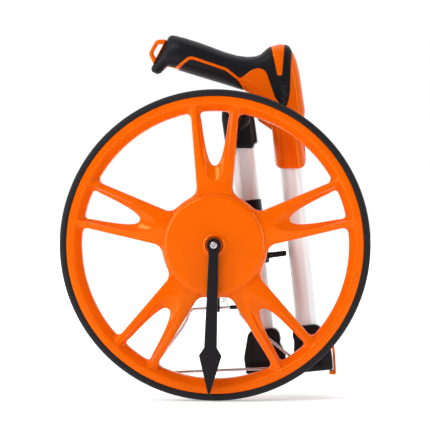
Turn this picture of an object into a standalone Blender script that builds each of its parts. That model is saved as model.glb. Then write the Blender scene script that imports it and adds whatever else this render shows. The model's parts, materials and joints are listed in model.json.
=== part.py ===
"""Folding measuring wheel: a one-metre wheel with its counter, a folding telescopic tube and a pistol grip.

Design sizes are millimetres in a design frame: x to the right, z up from the ground, y away from the
wheel's mid-plane towards the folded tubes. The object's own frame has its origin under the middle of
its bounding box, on the ground, so DEPTH_SHIFT moves the design frame along y.
"""

import math

import bmesh
import bpy
from mathutils import Matrix, Vector

MM = 0.001

# ---------------------------------------------------------------- driving dimensions, in millimetres
CIRCUMFERENCE = 1000.0
WHEEL_R = CIRCUMFERENCE / (2 * math.pi)
AXLE = (0.0, WHEEL_R)
TYRE_SEAT_R = 152.4
TYRE_HALF_WIDTH = 11.0
RIM_FRONT_R = 144.1
RIM_RIDGE_R = 137.0
HUB_R = 54.4
HUB_FACE_R = 51.8
HUB_FRONT_Y = -15.0
HUB_BACK_Y = 13.0
SPOKES = 5
SPOKE_HALF_DEPTH = 7.5
HUB_FILLET = (30.3, 59.1)
HUB_FILLET_R = 12.0
AXLE_R = 5.0
BUSH_R = 8.0
GAP = 0.3

DEPTH_FRONT = -28.0
DEPTH_BACK = 77.0
DEPTH_SHIFT = -(DEPTH_FRONT + DEPTH_BACK) / 2

TUBE_Y = 56.0
JOINT_HALF_DEPTH = 16.0
HEAD_HALF_DEPTH = 17.0
INNER_TUBE_R = 11.4
OUTER_TUBE_R = 12.7
TUBE_WALL = 0.95

FOLD_UPPER = (21.7, 290.0)
FOLD_LOWER = (75.7, 26.0)
TUBE_SLOPE = 0.1187
HANDLE_SLOPE = 0.1027
HANDLE_AXIS_FOOT = (98.8, 26.0)

PLATE_FRONT_Y = 15.0
PLATE_BACK_Y = 21.0
HOUSING_BACK_Y = 60.0
HOUSING_BOX = (-43.0, 18.0, 122.0, 172.0)
HOUSING_WALL = 2.0
# the step in the housing's upper corner that the hanging loop passes when the upper fold turns
LOOP_PASS_X = -8.0
LOOP_PASS_Y = 50.0

GEAR_MODULE = 0.95
WHEEL_GEAR_TEETH = 20
IDLER_TEETH = 11
GEAR_FRONT_Y = 22.4
GEAR_BACK_Y = 26.0
IDLER = (-(WHEEL_GEAR_TEETH + IDLER_TEETH) / 2 * GEAR_MODULE, WHEEL_R)
DRUMS = 5
DRUM_SHAFT = (2 * IDLER[0], WHEEL_R)
DRUM_R = 9.6
DRUM_WIDTH = 5.4
DRUM_PITCH = 5.8
DRUM_FIRST_Y = 27.0

BAIL_Y = 20.0
BAIL_R = 1.5
BAIL_BAR = ((-23.3, 92.3), (22.6, 94.5))

LEVER_PIVOT = (57.2, 147.8)
LATCH_PIVOT = (114.6, 60.5)
RESET_PIVOT = DRUM_SHAFT

# ---------------------------------------------------------------- scene and materials

for thing in list(bpy.data.objects):
    bpy.data.objects.remove(thing, do_unlink=True)


def material(name, colour, roughness, metallic=0.0, alpha=1.0):
    made = bpy.data.materials.new(name)
    made.use_nodes = True
    shader = made.node_tree.nodes["Principled BSDF"]
    shader.inputs["Base Color"].default_value = (*colour, 1.0)
    shader.inputs["Roughness"].default_value = roughness
    shader.inputs["Metallic"].default_value = metallic
    shader.inputs["Alpha"].default_value = alpha
    return made


ORANGE = material("orange_plastic", (0.93, 0.153, 0.001), 0.32)
BLACK = material("black_plastic", (0.018, 0.017, 0.021), 0.45)
SOFT = material("black_overmould", (0.022, 0.021, 0.025), 0.6)
RUBBER = material("tyre_rubber", (0.02, 0.02, 0.023), 0.75)
ALUMINIUM = material("satin_aluminium", (0.77, 0.76, 0.78), 0.34, 1.0)
STEEL = material("bright_steel", (0.6, 0.6, 0.62), 0.25, 1.0)
WHITE = material("white_plastic", (0.85, 0.85, 0.82), 0.4)
NYLON = material("natural_nylon", (0.72, 0.7, 0.62), 0.5)
CLEAR = material("clear_lens", (0.9, 0.93, 0.95), 0.05, 0.0, 0.35)

# ---------------------------------------------------------------- building blocks


def place(x, y, z):
    """A design point in the object's frame, in metres."""
    return Vector((x, y + DEPTH_SHIFT, z)) * MM


def finish(name, shape, finish_material, pivot=None, helper=False):
    """Makes an object from a bmesh whose origin lies at pivot, a design point."""
    bmesh.ops.recalc_face_normals(shape, faces=shape.faces)
    if shape.calc_volume(signed=True) < 0:
        bmesh.ops.reverse_faces(shape, faces=shape.faces)
    origin = place(*pivot) if pivot else Vector((0, 0, 0))
    bmesh.ops.translate(shape, verts=shape.verts, vec=-origin)
    mesh = bpy.data.meshes.new(name)
    shape.to_mesh(mesh)
    shape.free()
    mesh.shade_smooth()
    mesh.set_sharp_from_angle(angle=math.radians(35))
    made = bpy.data.objects.new(name, mesh)
    made.location = origin
    if finish_material:
        mesh.materials.append(finish_material)
    bpy.context.scene.collection.objects.link(made)
    if helper:
        made.hide_render = True
        made.display_type = "WIRE"
    return made


def add_prism(shape, outline, y_front, y_back):
    """Adds an outline in x and z, extruded along y."""
    ring = [shape.verts.new(place(x, y_front, z)) for x, z in outline]
    face = shape.faces.new(ring)
    grown = bmesh.ops.extrude_face_region(shape, geom=[face])
    moved = [item for item in grown["geom"] if isinstance(item, bmesh.types.BMVert)]
    bmesh.ops.translate(shape, verts=moved, vec=Vector((0, y_back - y_front, 0)) * MM)


def prism(name, outline, y_front, y_back, finish_material, pivot=None, helper=False):
    shape = bmesh.new()
    add_prism(shape, outline, y_front, y_back)
    return finish(name, shape, finish_material, pivot, helper)


def add_turned(shape, profile, centre, steps, closed=True):
    """Adds a profile of (radius, y) turned about the line along y through centre."""
    points = [shape.verts.new(place(centre[0] + r, y, centre[1])) for r, y in profile]
    edges = [shape.edges.new(pair) for pair in zip(points, points[1:])]
    if closed:
        edges.append(shape.edges.new((points[-1], points[0])))
    bmesh.ops.spin(
        shape,
        geom=points + edges,
        cent=place(centre[0], 0, centre[1]),
        axis=(0, 1, 0),
        steps=steps,
        angle=math.tau,
        use_duplicate=False,
    )
    bmesh.ops.remove_doubles(shape, verts=shape.verts, dist=2e-6)


def turned(name, profile, centre, steps, finish_material, closed=True, helper=False):
    shape = bmesh.new()
    add_turned(shape, profile, centre, steps, closed)
    return finish(name, shape, finish_material, (centre[0], 0, centre[1]), helper)


def ring_profile(r_in, r_out, y_front, y_back):
    return [(r_in, y_front), (r_out, y_front), (r_out, y_back), (r_in, y_back)]


def disc_profile(r, y_front, y_back):
    """A solid round piece, whose profile starts and ends on the axis."""
    return [(0, y_front), (r, y_front), (r, y_back), (0, y_back)]


def rod_frame(start, end, y=TUBE_Y):
    """The matrix that takes +Z to the direction from start to end and the origin to start."""
    a, b = place(start[0], y, start[1]), place(end[0], y, end[1])
    turn = (b - a).to_track_quat("Z", "Y").to_matrix().to_4x4()
    return Matrix.Translation(a) @ turn, (b - a).length


def along_tube(name, start, profile, end, finish_material, pivot, steps=40, helper=False, closed=True):
    """A profile of (radius, distance from start) turned about the line from start to end."""
    shape = bmesh.new()
    points = [shape.verts.new((r * MM, 0, d * MM)) for r, d in profile]
    edges = [shape.edges.new(pair) for pair in zip(points, points[1:])]
    if closed:
        edges.append(shape.edges.new((points[-1], points[0])))
    bmesh.ops.spin(
        shape, geom=points + edges, cent=(0, 0, 0), axis=(0, 0, 1), steps=steps, angle=math.tau
    )
    bmesh.ops.remove_doubles(shape, verts=shape.verts, dist=2e-6)
    bmesh.ops.transform(shape, matrix=rod_frame(start, end)[0], verts=shape.verts)
    return finish(name, shape, finish_material, pivot, helper)


def boolean(body, other, operation):
    cut = body.modifiers.new(f"{operation.lower()} {other.name}", "BOOLEAN")
    cut.operation = operation
    cut.solver = "EXACT"
    cut.object = other
    weld = body.modifiers.new(f"weld {other.name}", "WELD")
    weld.merge_threshold = 2e-6
    return body


def bevel(body, width, segments=1, angle=40):
    soft = body.modifiers.new("soft edges", "BEVEL")
    soft.width = width * MM
    soft.segments = segments
    soft.limit_method = "ANGLE"
    soft.angle_limit = math.radians(angle)
    return body


def arc(centre, radius, first, last, count):
    """Points on an arc in x and z, from the angle first to last in degrees, both included."""
    step = (last - first) / (count - 1)
    return [
        (
            centre[0] + radius * math.cos(math.radians(first + step * i)),
            centre[1] + radius * math.sin(math.radians(first + step * i)),
        )
        for i in range(count)
    ]


def rounded_box(x0, x1, z0, z1, radius, count=4):
    return (
        arc((x1 - radius, z0 + radius), radius, -90, 0, count)
        + arc((x1 - radius, z1 - radius), radius, 0, 90, count)
        + arc((x0 + radius, z1 - radius), radius, 90, 180, count)
        + arc((x0 + radius, z0 + radius), radius, 180, 270, count)
    )


def wire(name, points, radius, finish_material, sides=8, pivot=None, loop=False):
    """A round wire swept through design points (x, y, z), closed into a loop or with flat ends."""
    shape = bmesh.new()
    spots = [place(*point) for point in points]
    count = len(spots)
    rings = []
    normal = None
    for i, spot in enumerate(spots):
        before = spots[i - 1] if i or loop else spot
        after = spots[(i + 1) % count] if i < count - 1 or loop else spot
        first = (spot - before).normalized() if before != spot else (after - spot).normalized()
        second = (after - spot).normalized() if after != spot else first
        along = (first + second).normalized()
        if normal is None:
            normal = along.orthogonal().normalized()
            normal = Vector((0, 1, 0)) if abs(along.y) < 0.2 else normal
        normal = (normal - along * normal.dot(along)).normalized()
        across = along.cross(normal)
        stretch = 1 / max(0.6, along.dot(first))
        bend = (second - first).normalized() if (second - first).length > 1e-6 else Vector()
        ring = []
        for k in range(sides):
            a = math.tau * (k + 0.5) / sides
            arm = (normal * math.cos(a) + across * math.sin(a)) * radius * MM
            arm += bend * arm.dot(bend) * (stretch - 1)
            ring.append(shape.verts.new(spot + arm))
        rings.append(ring)
    pairs = list(zip(rings, rings[1:]))
    if loop:
        pairs.append((rings[-1], rings[0]))
    for one, two in pairs:
        for k in range(sides):
            n = (k + 1) % sides
            shape.faces.new((one[k], one[n], two[n], two[k]))
    if not loop:
        shape.faces.new(rings[0])
        shape.faces.new(rings[-1])
    return finish(name, shape, finish_material, pivot)


def smooth_path(points, steps):
    """Catmull-Rom points through the given ones."""
    ends = [points[0], *points, points[-1]]
    path = []
    for a, b, c, d in zip(ends, ends[1:], ends[2:], ends[3:]):
        for k in range(steps):
            t = k / steps
            path.append(
                tuple(
                    0.5
                    * (
                        2 * b[i]
                        + (c[i] - a[i]) * t
                        + (2 * a[i] - 5 * b[i] + 4 * c[i] - d[i]) * t * t
                        + (3 * b[i] - a[i] - 3 * c[i] + d[i]) * t**3
                    )
                    for i in range(len(b))
                )
            )
    path.append(points[-1])
    return path


def tube_axis(z):
    """The x of the folding tube's axis at height z."""
    return FOLD_UPPER[0] + TUBE_SLOPE * (FOLD_UPPER[1] - z)


def handle_axis(z):
    """The x of the handle tube's axis at height z."""
    return HANDLE_AXIS_FOOT[0] - HANDLE_SLOPE * (z - HANDLE_AXIS_FOOT[1])


def on_tube(z):
    return (tube_axis(z), z)


def on_handle(z):
    return (handle_axis(z), z)


# ---------------------------------------------------------------- wheel


def spoke_side(distance):
    """Half the width of a double spoke at a distance from the axle, with fillets at the hub and the rim."""
    straight = 17.7 + 0.083 * (distance - 52.3)
    if distance < HUB_FILLET[1]:
        reach = HUB_FILLET_R**2 - (HUB_FILLET[1] - distance) ** 2
        return min(HUB_FILLET[0] - math.sqrt(max(0.0, reach)), 25.4)
    rim_flare = 6.0 * math.exp((distance - 137.0) / 2.2)
    return straight + min(rim_flare, 6.0)


def window_side(distance):
    """Half the width of the opening between a double spoke's two limbs, which ends in a round apex."""
    apex, mouth = 81.0, 136.0
    t = (distance - apex) / (mouth - apex)
    return 14.9 * min(1.0, max(0.0, t)) ** 0.42


def turned_about_axle(points, degrees):
    """Turns (across, distance from the axle) points so that the distance runs along an angle."""
    a = math.radians(degrees)
    return [
        (
            AXLE[0] + d * math.cos(a) + u * math.sin(a),
            AXLE[1] + d * math.sin(a) - u * math.cos(a),
        )
        for u, d in points
    ]


def mirrored(side, stations):
    right = [(side(d), d) for d in stations]
    return right + [(-u, d) for u, d in reversed(right)]


def wheel_moulding():
    spoke_stations = [46, 48.2, 49.8, 51.8, 55, 59.1, 75, 92, 110, 128, 133, 135.5, 137.2, 146]
    window_stations = [81.3, 82.5, 85, 89, 95, 103, 114, 126, 134]
    spokes, windows = bmesh.new(), bmesh.new()
    for index in range(SPOKES):
        angle = 90 + 360 / SPOKES * index
        add_prism(
            spokes,
            turned_about_axle(mirrored(spoke_side, spoke_stations), angle),
            -SPOKE_HALF_DEPTH,
            SPOKE_HALF_DEPTH,
        )
        opening = mirrored(window_side, window_stations)
        middle = len(opening) // 2
        opening[middle:middle] = [(14.9, 140.0), (-14.9, 140.0)]
        add_prism(windows, turned_about_axle(opening, angle), -12, 12)
    spokes = finish("spoke_stock", spokes, None, helper=True)
    boolean(spokes, finish("window_stock", windows, None, helper=True), "DIFFERENCE")
    hub = turned(
        "hub_stock",
        [
            (BUSH_R + GAP, HUB_FRONT_Y - 1),
            (10.6, HUB_FRONT_Y - 1),
            (10.6, HUB_FRONT_Y),
            (HUB_FACE_R - 3.6, HUB_FRONT_Y),
            (HUB_FACE_R, HUB_FRONT_Y + 2.4),
            (HUB_R, HUB_FRONT_Y + 4.4),
            (HUB_R, 10.4),
            (14.0, HUB_BACK_Y),
            (BUSH_R + GAP, HUB_BACK_Y),
        ],
        AXLE,
        48,
        None,
        helper=True,
    )
    rim = turned(
        "wheel",
        [
            (RIM_FRONT_R, -TYRE_HALF_WIDTH),
            (TYRE_SEAT_R - GAP, -TYRE_HALF_WIDTH),
            (TYRE_SEAT_R - GAP, TYRE_HALF_WIDTH),
            (RIM_RIDGE_R + 0.8, TYRE_HALF_WIDTH),
            (RIM_RIDGE_R, 8.6),
        ],
        AXLE,
        72,
        ORANGE,
    )
    boolean(rim, spokes, "UNION")
    boolean(rim, hub, "UNION")


def tyre():
    turned(
        "tyre",
        [
            (TYRE_SEAT_R, -10.4),
            (155.6, -TYRE_HALF_WIDTH),
            (158.2, -9.6),
            (WHEEL_R, -6.6),
            (WHEEL_R, 6.6),
            (158.2, 9.6),
            (155.6, TYRE_HALF_WIDTH),
            (TYRE_SEAT_R, 10.4),
        ],
        AXLE,
        72,
        RUBBER,
    )


def gear_outline(teeth, centre, first_angle, root_cut=1.15, tip_rise=0.8):
    """A gear's outline with straight-sided teeth; a tooth stands at first_angle, in degrees."""
    pitch_r = teeth * GEAR_MODULE / 2
    root_r, tip_r = pitch_r - root_cut * GEAR_MODULE, pitch_r + tip_rise * GEAR_MODULE
    step = 360 / teeth
    outline = []
    for tooth in range(teeth):
        middle = first_angle + step * tooth
        for radius, offset in (
            (root_r, -0.34),
            (tip_r, -0.12),
            (tip_r, 0.12),
            (root_r, 0.34),
        ):
            a = math.radians(middle + offset * step)
            outline.append((centre[0] + radius * math.cos(a), centre[1] + radius * math.sin(a)))
    return outline


def bored(name, outline, y_front, y_back, centre, bore_r, finish_material, steps=24):
    """A prism with a round bore through it."""
    body = prism(name, outline, y_front, y_back, finish_material, (centre[0], 0, centre[1]))
    hole = turned(
        f"{name}_bore",
        disc_profile(bore_r, y_front - 2, y_back + 2),
        centre,
        steps,
        None,
        closed=False,
        helper=True,
    )
    return boolean(body, hole, "DIFFERENCE")


def nut(name, centre, corner_r, bore_r, y_front, y_back):
    """A hexagonal nut."""
    bored(name, arc(centre, corner_r, 0, 300, 6), y_front, y_back, centre, bore_r, STEEL, 16)


def wheel_bearings():
    flange_r = 7.2
    turned(
        "front_bush",
        [
            (AXLE_R + 0.1, -16.6),
            (BUSH_R, -16.6),
            (BUSH_R, -8.0),
            (AXLE_R + 0.1, -8.0),
        ],
        AXLE,
        28,
        NYLON,
    )
    turned(
        "rear_bush",
        [(AXLE_R + 0.1, 4.0), (BUSH_R, 4.0), (BUSH_R, 12.6), (AXLE_R + 0.1, 12.6)],
        AXLE,
        28,
        NYLON,
    )
    gear = prism(
        "wheel_gear",
        gear_outline(WHEEL_GEAR_TEETH, AXLE, 180),
        GEAR_FRONT_Y,
        GEAR_BACK_Y,
        NYLON,
        (AXLE[0], 0, AXLE[1]),
    )
    sleeve = disc_profile(flange_r, HUB_BACK_Y + GAP, GEAR_FRONT_Y + 0.5)
    boolean(gear, turned("gear_sleeve_stock", sleeve, AXLE, 24, None, False, True), "UNION")
    bore = disc_profile(AXLE_R + 0.2, HUB_BACK_Y - 2, GEAR_BACK_Y + 2)
    boolean(gear, turned("gear_bore", bore, AXLE, 24, None, False, True), "DIFFERENCE")


# ---------------------------------------------------------------- axle, frame and counter


def axle_and_pointer():
    pointer_y = (-23.6, -17.6)
    turned(
        "axle",
        [
            (0, -22.0),
            (3.0, -22.0),
            (3.0, -17.2),
            (AXLE_R, -17.2),
            (AXLE_R, 68.0),
            (0, 68.0),
        ],
        AXLE,
        28,
        STEEL,
        closed=False,
    )
    head_r, head = 7.5, AXLE
    lean = math.radians(-1.9)

    def leaning(across, down):
        x, z = across, -down
        return (
            AXLE[0] + x * math.cos(lean) - z * math.sin(lean),
            AXLE[1] + x * math.sin(lean) + z * math.cos(lean),
        )

    outline = [leaning(math.sin(a) * head_r, -math.cos(a) * head_r) for a in
               [math.radians(-130 + 260 / 14 * i) for i in range(15)]]
    outline += [leaning(6.5, 104.0), leaning(7.6, 106.5), leaning(11.6, 112.5), leaning(1.0, 152.0),
                leaning(-1.0, 152.0), leaning(-11.6, 112.5), leaning(-7.6, 106.5), leaning(-6.5, 104.0)]
    bored("pointer", outline, *pointer_y, head, 3.25, BLACK, steps=20)
    turned(
        "pointer_bolt",
        [(0, -28.0), (2.6, -28.0), (3.7, -27.2), (3.7, -23.9), (2.5, -23.9), (2.5, -22.3), (0, -22.3)],
        AXLE,
        6,
        STEEL,
        closed=False,
    )
    turned("axle_washer", ring_profile(AXLE_R + GAP, 9.0, 60.4, 61.6), AXLE, 24, STEEL)
    nut("axle_nut", AXLE, 8.0, AXLE_R + GAP, 61.9, 66.4)


def frame_arm():
    """The plate that closes the counter in front, the arm up to the fold and its boss."""
    x0, x1, z0, z1 = HOUSING_BOX
    plate = prism(
        "frame_arm",
        rounded_box(x0, x1, z0, z1, 7, 4),
        PLATE_FRONT_Y,
        PLATE_BACK_Y,
        BLACK,
    )
    direction = Vector((FOLD_UPPER[0] - AXLE[0], FOLD_UPPER[1] - AXLE[1])).normalized()
    side = Vector((direction.y, -direction.x))
    half_width = 4.9

    def beside(distance, across):
        spot = Vector(AXLE) + direction * distance + side * across
        return (spot.x, spot.y)

    bar = prism(
        "arm_stock",
        [
            beside(8, -11),
            beside(8, 11),
            beside(30, half_width),
            beside(124, half_width),
            beside(124, -half_width),
            beside(30, -half_width),
        ],
        PLATE_FRONT_Y + 0.2,
        PLATE_BACK_Y + 0.4,
        None,
        helper=True,
    )
    boss = turned(
        "boss_stock",
        [
            (0, PLATE_FRONT_Y - 0.3),
            (10.5, PLATE_FRONT_Y - 0.3),
            (13.0, PLATE_FRONT_Y + 2.0),
            (13.0, TUBE_Y - HEAD_HALF_DEPTH - 0.5),
            (0, TUBE_Y - HEAD_HALF_DEPTH - 0.5),
        ],
        FOLD_UPPER,
        32,
        None,
        closed=False,
        helper=True,
    )
    ear = prism(
        "ear_stock",
        [(-3.6, 89.4), (4.0, 89.4), (4.0, z0 - 0.6), (-3.6, z0 - 0.6)],
        PLATE_FRONT_Y + 0.6,
        PLATE_BACK_Y + 3.2,
        None,
        helper=True,
    )
    ear_root = prism(
        "ear_root_stock",
        [(-6.6, 108.0), (3.8, 108.0), (3.8, z0 + 3), (-8.6, z0 + 3)],
        PLATE_FRONT_Y + 0.4,
        PLATE_BACK_Y - 0.4,
        None,
        helper=True,
    )
    boolean(plate, bar, "UNION")
    boolean(plate, boss, "UNION")
    boolean(plate, ear_root, "UNION")
    boolean(plate, ear, "UNION")
    opening = turned(
        "sleeve_opening",
        disc_profile(11.4, PLATE_FRONT_Y - 4, PLATE_BACK_Y + 4),
        AXLE,
        32,
        None,
        closed=False,
        helper=True,
    )
    bolt_hole = turned(
        "fold_hole",
        [
            (0, 0),
            (5.9, 0),
            (5.9, 18.9),
            (3.3, 18.9),
            (3.3, 80),
            (0, 80),
        ],
        FOLD_UPPER,
        24,
        None,
        closed=False,
        helper=True,
    )
    boolean(plate, opening, "DIFFERENCE")
    boolean(plate, bolt_hole, "DIFFERENCE")
    boolean(plate, bail_bore(), "DIFFERENCE")
    threads = bmesh.new()
    for spot in screw_places():
        add_turned(threads, disc_profile(1.6, PLATE_BACK_Y - 2.8, PLATE_BACK_Y + 3), spot, 12, False)
    boolean(plate, finish("thread_holes", threads, None, helper=True), "DIFFERENCE")


def bail_bore():
    """The cutter for the ear's hole, along the bail's bar."""
    (xa, za), (xb, zb) = BAIL_BAR
    shape = bmesh.new()
    bmesh.ops.create_cone(
        shape,
        cap_ends=True,
        segments=16,
        radius1=(BAIL_R + GAP) * MM,
        radius2=(BAIL_R + GAP) * MM,
        depth=16 * MM,
    )
    direction = Vector((xb - xa, 0, zb - za))
    turn = direction.to_track_quat("Z", "Y").to_matrix().to_4x4()
    middle = place((xa + xb) / 2, BAIL_Y, (za + zb) / 2)
    bmesh.ops.transform(shape, matrix=Matrix.Translation(middle) @ turn, verts=shape.verts)
    return finish("bail_bore", shape, None, helper=True)


def screw_places():
    x0, x1, z0, z1 = HOUSING_BOX
    inset = 5.2
    return [(x0 + inset, z0 + inset), (x1 - inset, z0 + inset), (x1 - 4.6, z1 - 7.6)]


def counter():
    x0, x1, z0, z1 = HOUSING_BOX
    front = PLATE_BACK_Y + 0.7
    shell = prism(
        "counter_housing",
        rounded_box(x0, x1, z0, z1, 7, 4),
        front,
        HOUSING_BACK_Y,
        BLACK,
    )
    cavity = prism(
        "cavity",
        rounded_box(x0 + HOUSING_WALL, x1 - HOUSING_WALL, z0 + HOUSING_WALL, z1 - HOUSING_WALL, 5, 4),
        front - 2,
        HOUSING_BACK_Y - 3,
        None,
        helper=True,
    )
    boolean(shell, cavity, "DIFFERENCE")
    posts = bmesh.new()
    for spot in screw_places():
        add_turned(posts, disc_profile(3.4, front + 0.2, HOUSING_BACK_Y - 2), spot, 12, False)
    add_turned(posts, disc_profile(8.5, 40, HOUSING_BACK_Y - 2), AXLE, 20, False)
    boolean(shell, finish("post_stock", posts, None, helper=True), "UNION")
    corner = [(LOOP_PASS_X - 2, z1 - 5.5), (x1 - 1, z1 - 5.5), (x1 - 1, z1 - 1), (LOOP_PASS_X - 2, z1 - 1)]
    boolean(shell, prism("corner_stock", corner, LOOP_PASS_Y - 2, HOUSING_BACK_Y - 1, None, helper=True), "UNION")
    corner = [(LOOP_PASS_X, z1 - 3.5), (x1 + 1, z1 - 3.5), (x1 + 1, z1 + 1), (LOOP_PASS_X, z1 + 1)]
    boolean(shell, prism("corner_step", corner, LOOP_PASS_Y, HOUSING_BACK_Y + 1, None, helper=True), "DIFFERENCE")
    holes = bmesh.new()
    add_turned(holes, disc_profile(AXLE_R + GAP, front, HOUSING_BACK_Y + 2), AXLE, 24, False)
    add_turned(holes, disc_profile(2.3, front, HOUSING_BACK_Y + 2), DRUM_SHAFT, 16, False)
    for spot in screw_places():
        add_turned(
            holes,
            [
                (0, front - 2),
                (1.6, front - 2),
                (1.6, HOUSING_BACK_Y - 2.4),
                (3.3, HOUSING_BACK_Y - 2.4),
                (3.3, HOUSING_BACK_Y + 2),
                (0, HOUSING_BACK_Y + 2),
            ],
            spot,
            12,
            False,
        )
    boolean(shell, finish("hole_stock", holes, None, helper=True), "DIFFERENCE")
    window_x = (DRUM_SHAFT[0] - 6.0, DRUM_SHAFT[0] + 6.0)
    window_y = (DRUM_FIRST_Y - 1.0, DRUM_FIRST_Y + DRUMS * DRUM_PITCH + 0.6)
    slot = prism(
        "window_slot",
        [
            (window_x[0], z1 - 4),
            (window_x[1], z1 - 4),
            (window_x[1], z1 + 2),
            (window_x[0], z1 + 2),
        ],
        *window_y,
        None,
        helper=True,
    )
    boolean(shell, slot, "DIFFERENCE")
    prism(
        "counter_window",
        [
            (window_x[0] + GAP, z1 - 1.5),
            (window_x[1] - GAP, z1 - 1.5),
            (window_x[1] - GAP, z1 - 0.2),
            (window_x[0] + GAP, z1 - 0.2),
        ],
        window_y[0] + GAP,
        window_y[1] - GAP,
        CLEAR,
    )
    for index, spot in enumerate(screw_places()):
        turned(
            f"housing_screw_{index + 1}",
            [
                (0, PLATE_BACK_Y - 2.4),
                (1.3, PLATE_BACK_Y - 2.4),
                (1.3, HOUSING_BACK_Y - 2.1),
                (2.9, HOUSING_BACK_Y - 2.1),
                (2.9, HOUSING_BACK_Y - 0.2),
                (0, HOUSING_BACK_Y - 0.2),
            ],
            spot,
            10,
            STEEL,
            closed=False,
        )


def counter_works():
    turned(
        "drum_shaft",
        disc_profile(1.9, PLATE_BACK_Y + 0.8, 66.0),
        DRUM_SHAFT,
        16,
        STEEL,
        closed=False,
    )
    turned("idler_pin", disc_profile(1.4, PLATE_BACK_Y + 0.8, 30.0), IDLER, 12, STEEL, closed=False)
    half_step = 180 / IDLER_TEETH
    bored(
        "idler_gear",
        gear_outline(IDLER_TEETH, IDLER, half_step),
        GEAR_FRONT_Y,
        GEAR_BACK_Y,
        IDLER,
        1.6,
        NYLON,
        12,
    )
    bored(
        "drum_gear",
        gear_outline(WHEEL_GEAR_TEETH, DRUM_SHAFT, 180 / WHEEL_GEAR_TEETH),
        GEAR_FRONT_Y,
        GEAR_BACK_Y,
        DRUM_SHAFT,
        2.1,
        NYLON,
        16,
    )
    for index in range(DRUMS):
        front = DRUM_FIRST_Y + DRUM_PITCH * index
        turned(
            f"digit_drum_{index + 1}",
            ring_profile(2.1, DRUM_R, front, front + DRUM_WIDTH),
            DRUM_SHAFT,
            20,
            WHITE,
        )
    reset_outline = (
        arc(RESET_PIVOT, 5.0, 20, 250, 8)
        + [(RESET_PIVOT[0] - 3.0, 140.0), (RESET_PIVOT[0] - 1.0, 128.0)]
        + [(RESET_PIVOT[0] + 5.0, 127.0), (RESET_PIVOT[0] + 6.0, 140.0)]
    )
    bored("reset_lever", reset_outline, 60.5, 64.5, RESET_PIVOT, 2.2, ORANGE, 16)


# ---------------------------------------------------------------- folding tube


def fold_head():
    """The block at the tube's upper end, which swings on the arm's boss."""
    front, back = TUBE_Y - HEAD_HALF_DEPTH, TUBE_Y + HEAD_HALF_DEPTH
    half = 17.1
    top = 306.0

    def beside(z, across):
        return (tube_axis(z) + across, z - across * TUBE_SLOPE * 0.0)

    outline = [
        beside(259.5, -half + 1.5),
        beside(259.5, half - 4.6),
        beside(264.4, half - 4.0),
        beside(265.4, half + 0.4),
        beside(268.6, half + 0.4),
        beside(290, half),
        beside(299, half - 1.0),
        beside(304, half - 5.0),
        beside(top, half - 10),
        beside(top, -half + 10),
        beside(304, -half + 5.0),
        beside(299, -half + 1.0),
        beside(290, -half),
        beside(264, -half),
    ]
    block = prism("fold_head", outline, front, back, BLACK, (*FOLD_UPPER[:1], 0, FOLD_UPPER[1]))
    bevel(block, 2.2, 2, 50)
    socket = along_tube(
        "head_socket",
        on_tube(250),
        [(0, 0), (OUTER_TUBE_R + GAP, 0), (OUTER_TUBE_R + GAP, 33.5), (0, 33.5)],
        on_tube(290),
        None,
        None,
        helper=True,
        closed=False,
    )
    hole = turned(
        "head_hole", disc_profile(3.3, front - 4, back + 4), FOLD_UPPER, 24, None, closed=False, helper=True
    )
    boolean(block, socket, "DIFFERENCE")
    boolean(block, hole, "DIFFERENCE")
    turned(
        "fold_bolt",
        [
            (0, 15.4),
            (3.0, 15.4),
            (3.0, back + GAP),
            (6.2, back + GAP),
            (6.2, 76.2),
            (5.2, DEPTH_BACK),
            (0, DEPTH_BACK),
        ],
        FOLD_UPPER,
        24,
        STEEL,
        closed=False,
    )
    nut("fold_nut", FOLD_UPPER, 5.5, 3.3, 15.2, 18.6)


def tubes():
    outer_top, outer_foot = 283.0, 142.0
    length = rod_frame(on_tube(outer_foot), on_tube(outer_top))[1] / MM
    along_tube(
        "outer_tube",
        on_tube(outer_foot),
        [
            (OUTER_TUBE_R - TUBE_WALL, 0),
            (OUTER_TUBE_R, 0),
            (OUTER_TUBE_R, length),
            (OUTER_TUBE_R - TUBE_WALL, length),
        ],
        on_tube(outer_top),
        ALUMINIUM,
        (*FOLD_UPPER[:1], TUBE_Y, FOLD_UPPER[1]),
    )
    inner_top, inner_foot = 218.0, 40.0
    length = rod_frame(on_tube(inner_foot), on_tube(inner_top))[1] / MM
    inside = INNER_TUBE_R - TUBE_WALL
    along_tube(
        "inner_tube",
        on_tube(inner_foot),
        [(inside, 0), (INNER_TUBE_R, 0), (INNER_TUBE_R, length), (inside, length)],
        on_tube(inner_top),
        ALUMINIUM,
        (tube_axis(inner_top), TUBE_Y, inner_top),
    )
    along_tube(
        "tube_guide",
        on_tube(inner_top),
        [(inside - GAP, -12), (inside - GAP, GAP), (INNER_TUBE_R, GAP), (INNER_TUBE_R, 5), (4, 5), (4, -12)],
        on_tube(inner_top + 20),
        NYLON,
        (tube_axis(inner_top), TUBE_Y, inner_top),
        steps=28,
    )
    handle_top, handle_foot = 268.0, 40.0
    length = rod_frame(on_handle(handle_foot), on_handle(handle_top))[1] / MM
    along_tube(
        "handle_tube",
        on_handle(handle_foot),
        [(inside, 0), (INNER_TUBE_R, 0), (INNER_TUBE_R, length), (inside, length)],
        on_handle(handle_top),
        ALUMINIUM,
        (*FOLD_LOWER[:1], TUBE_Y, FOLD_LOWER[1]),
    )


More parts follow.
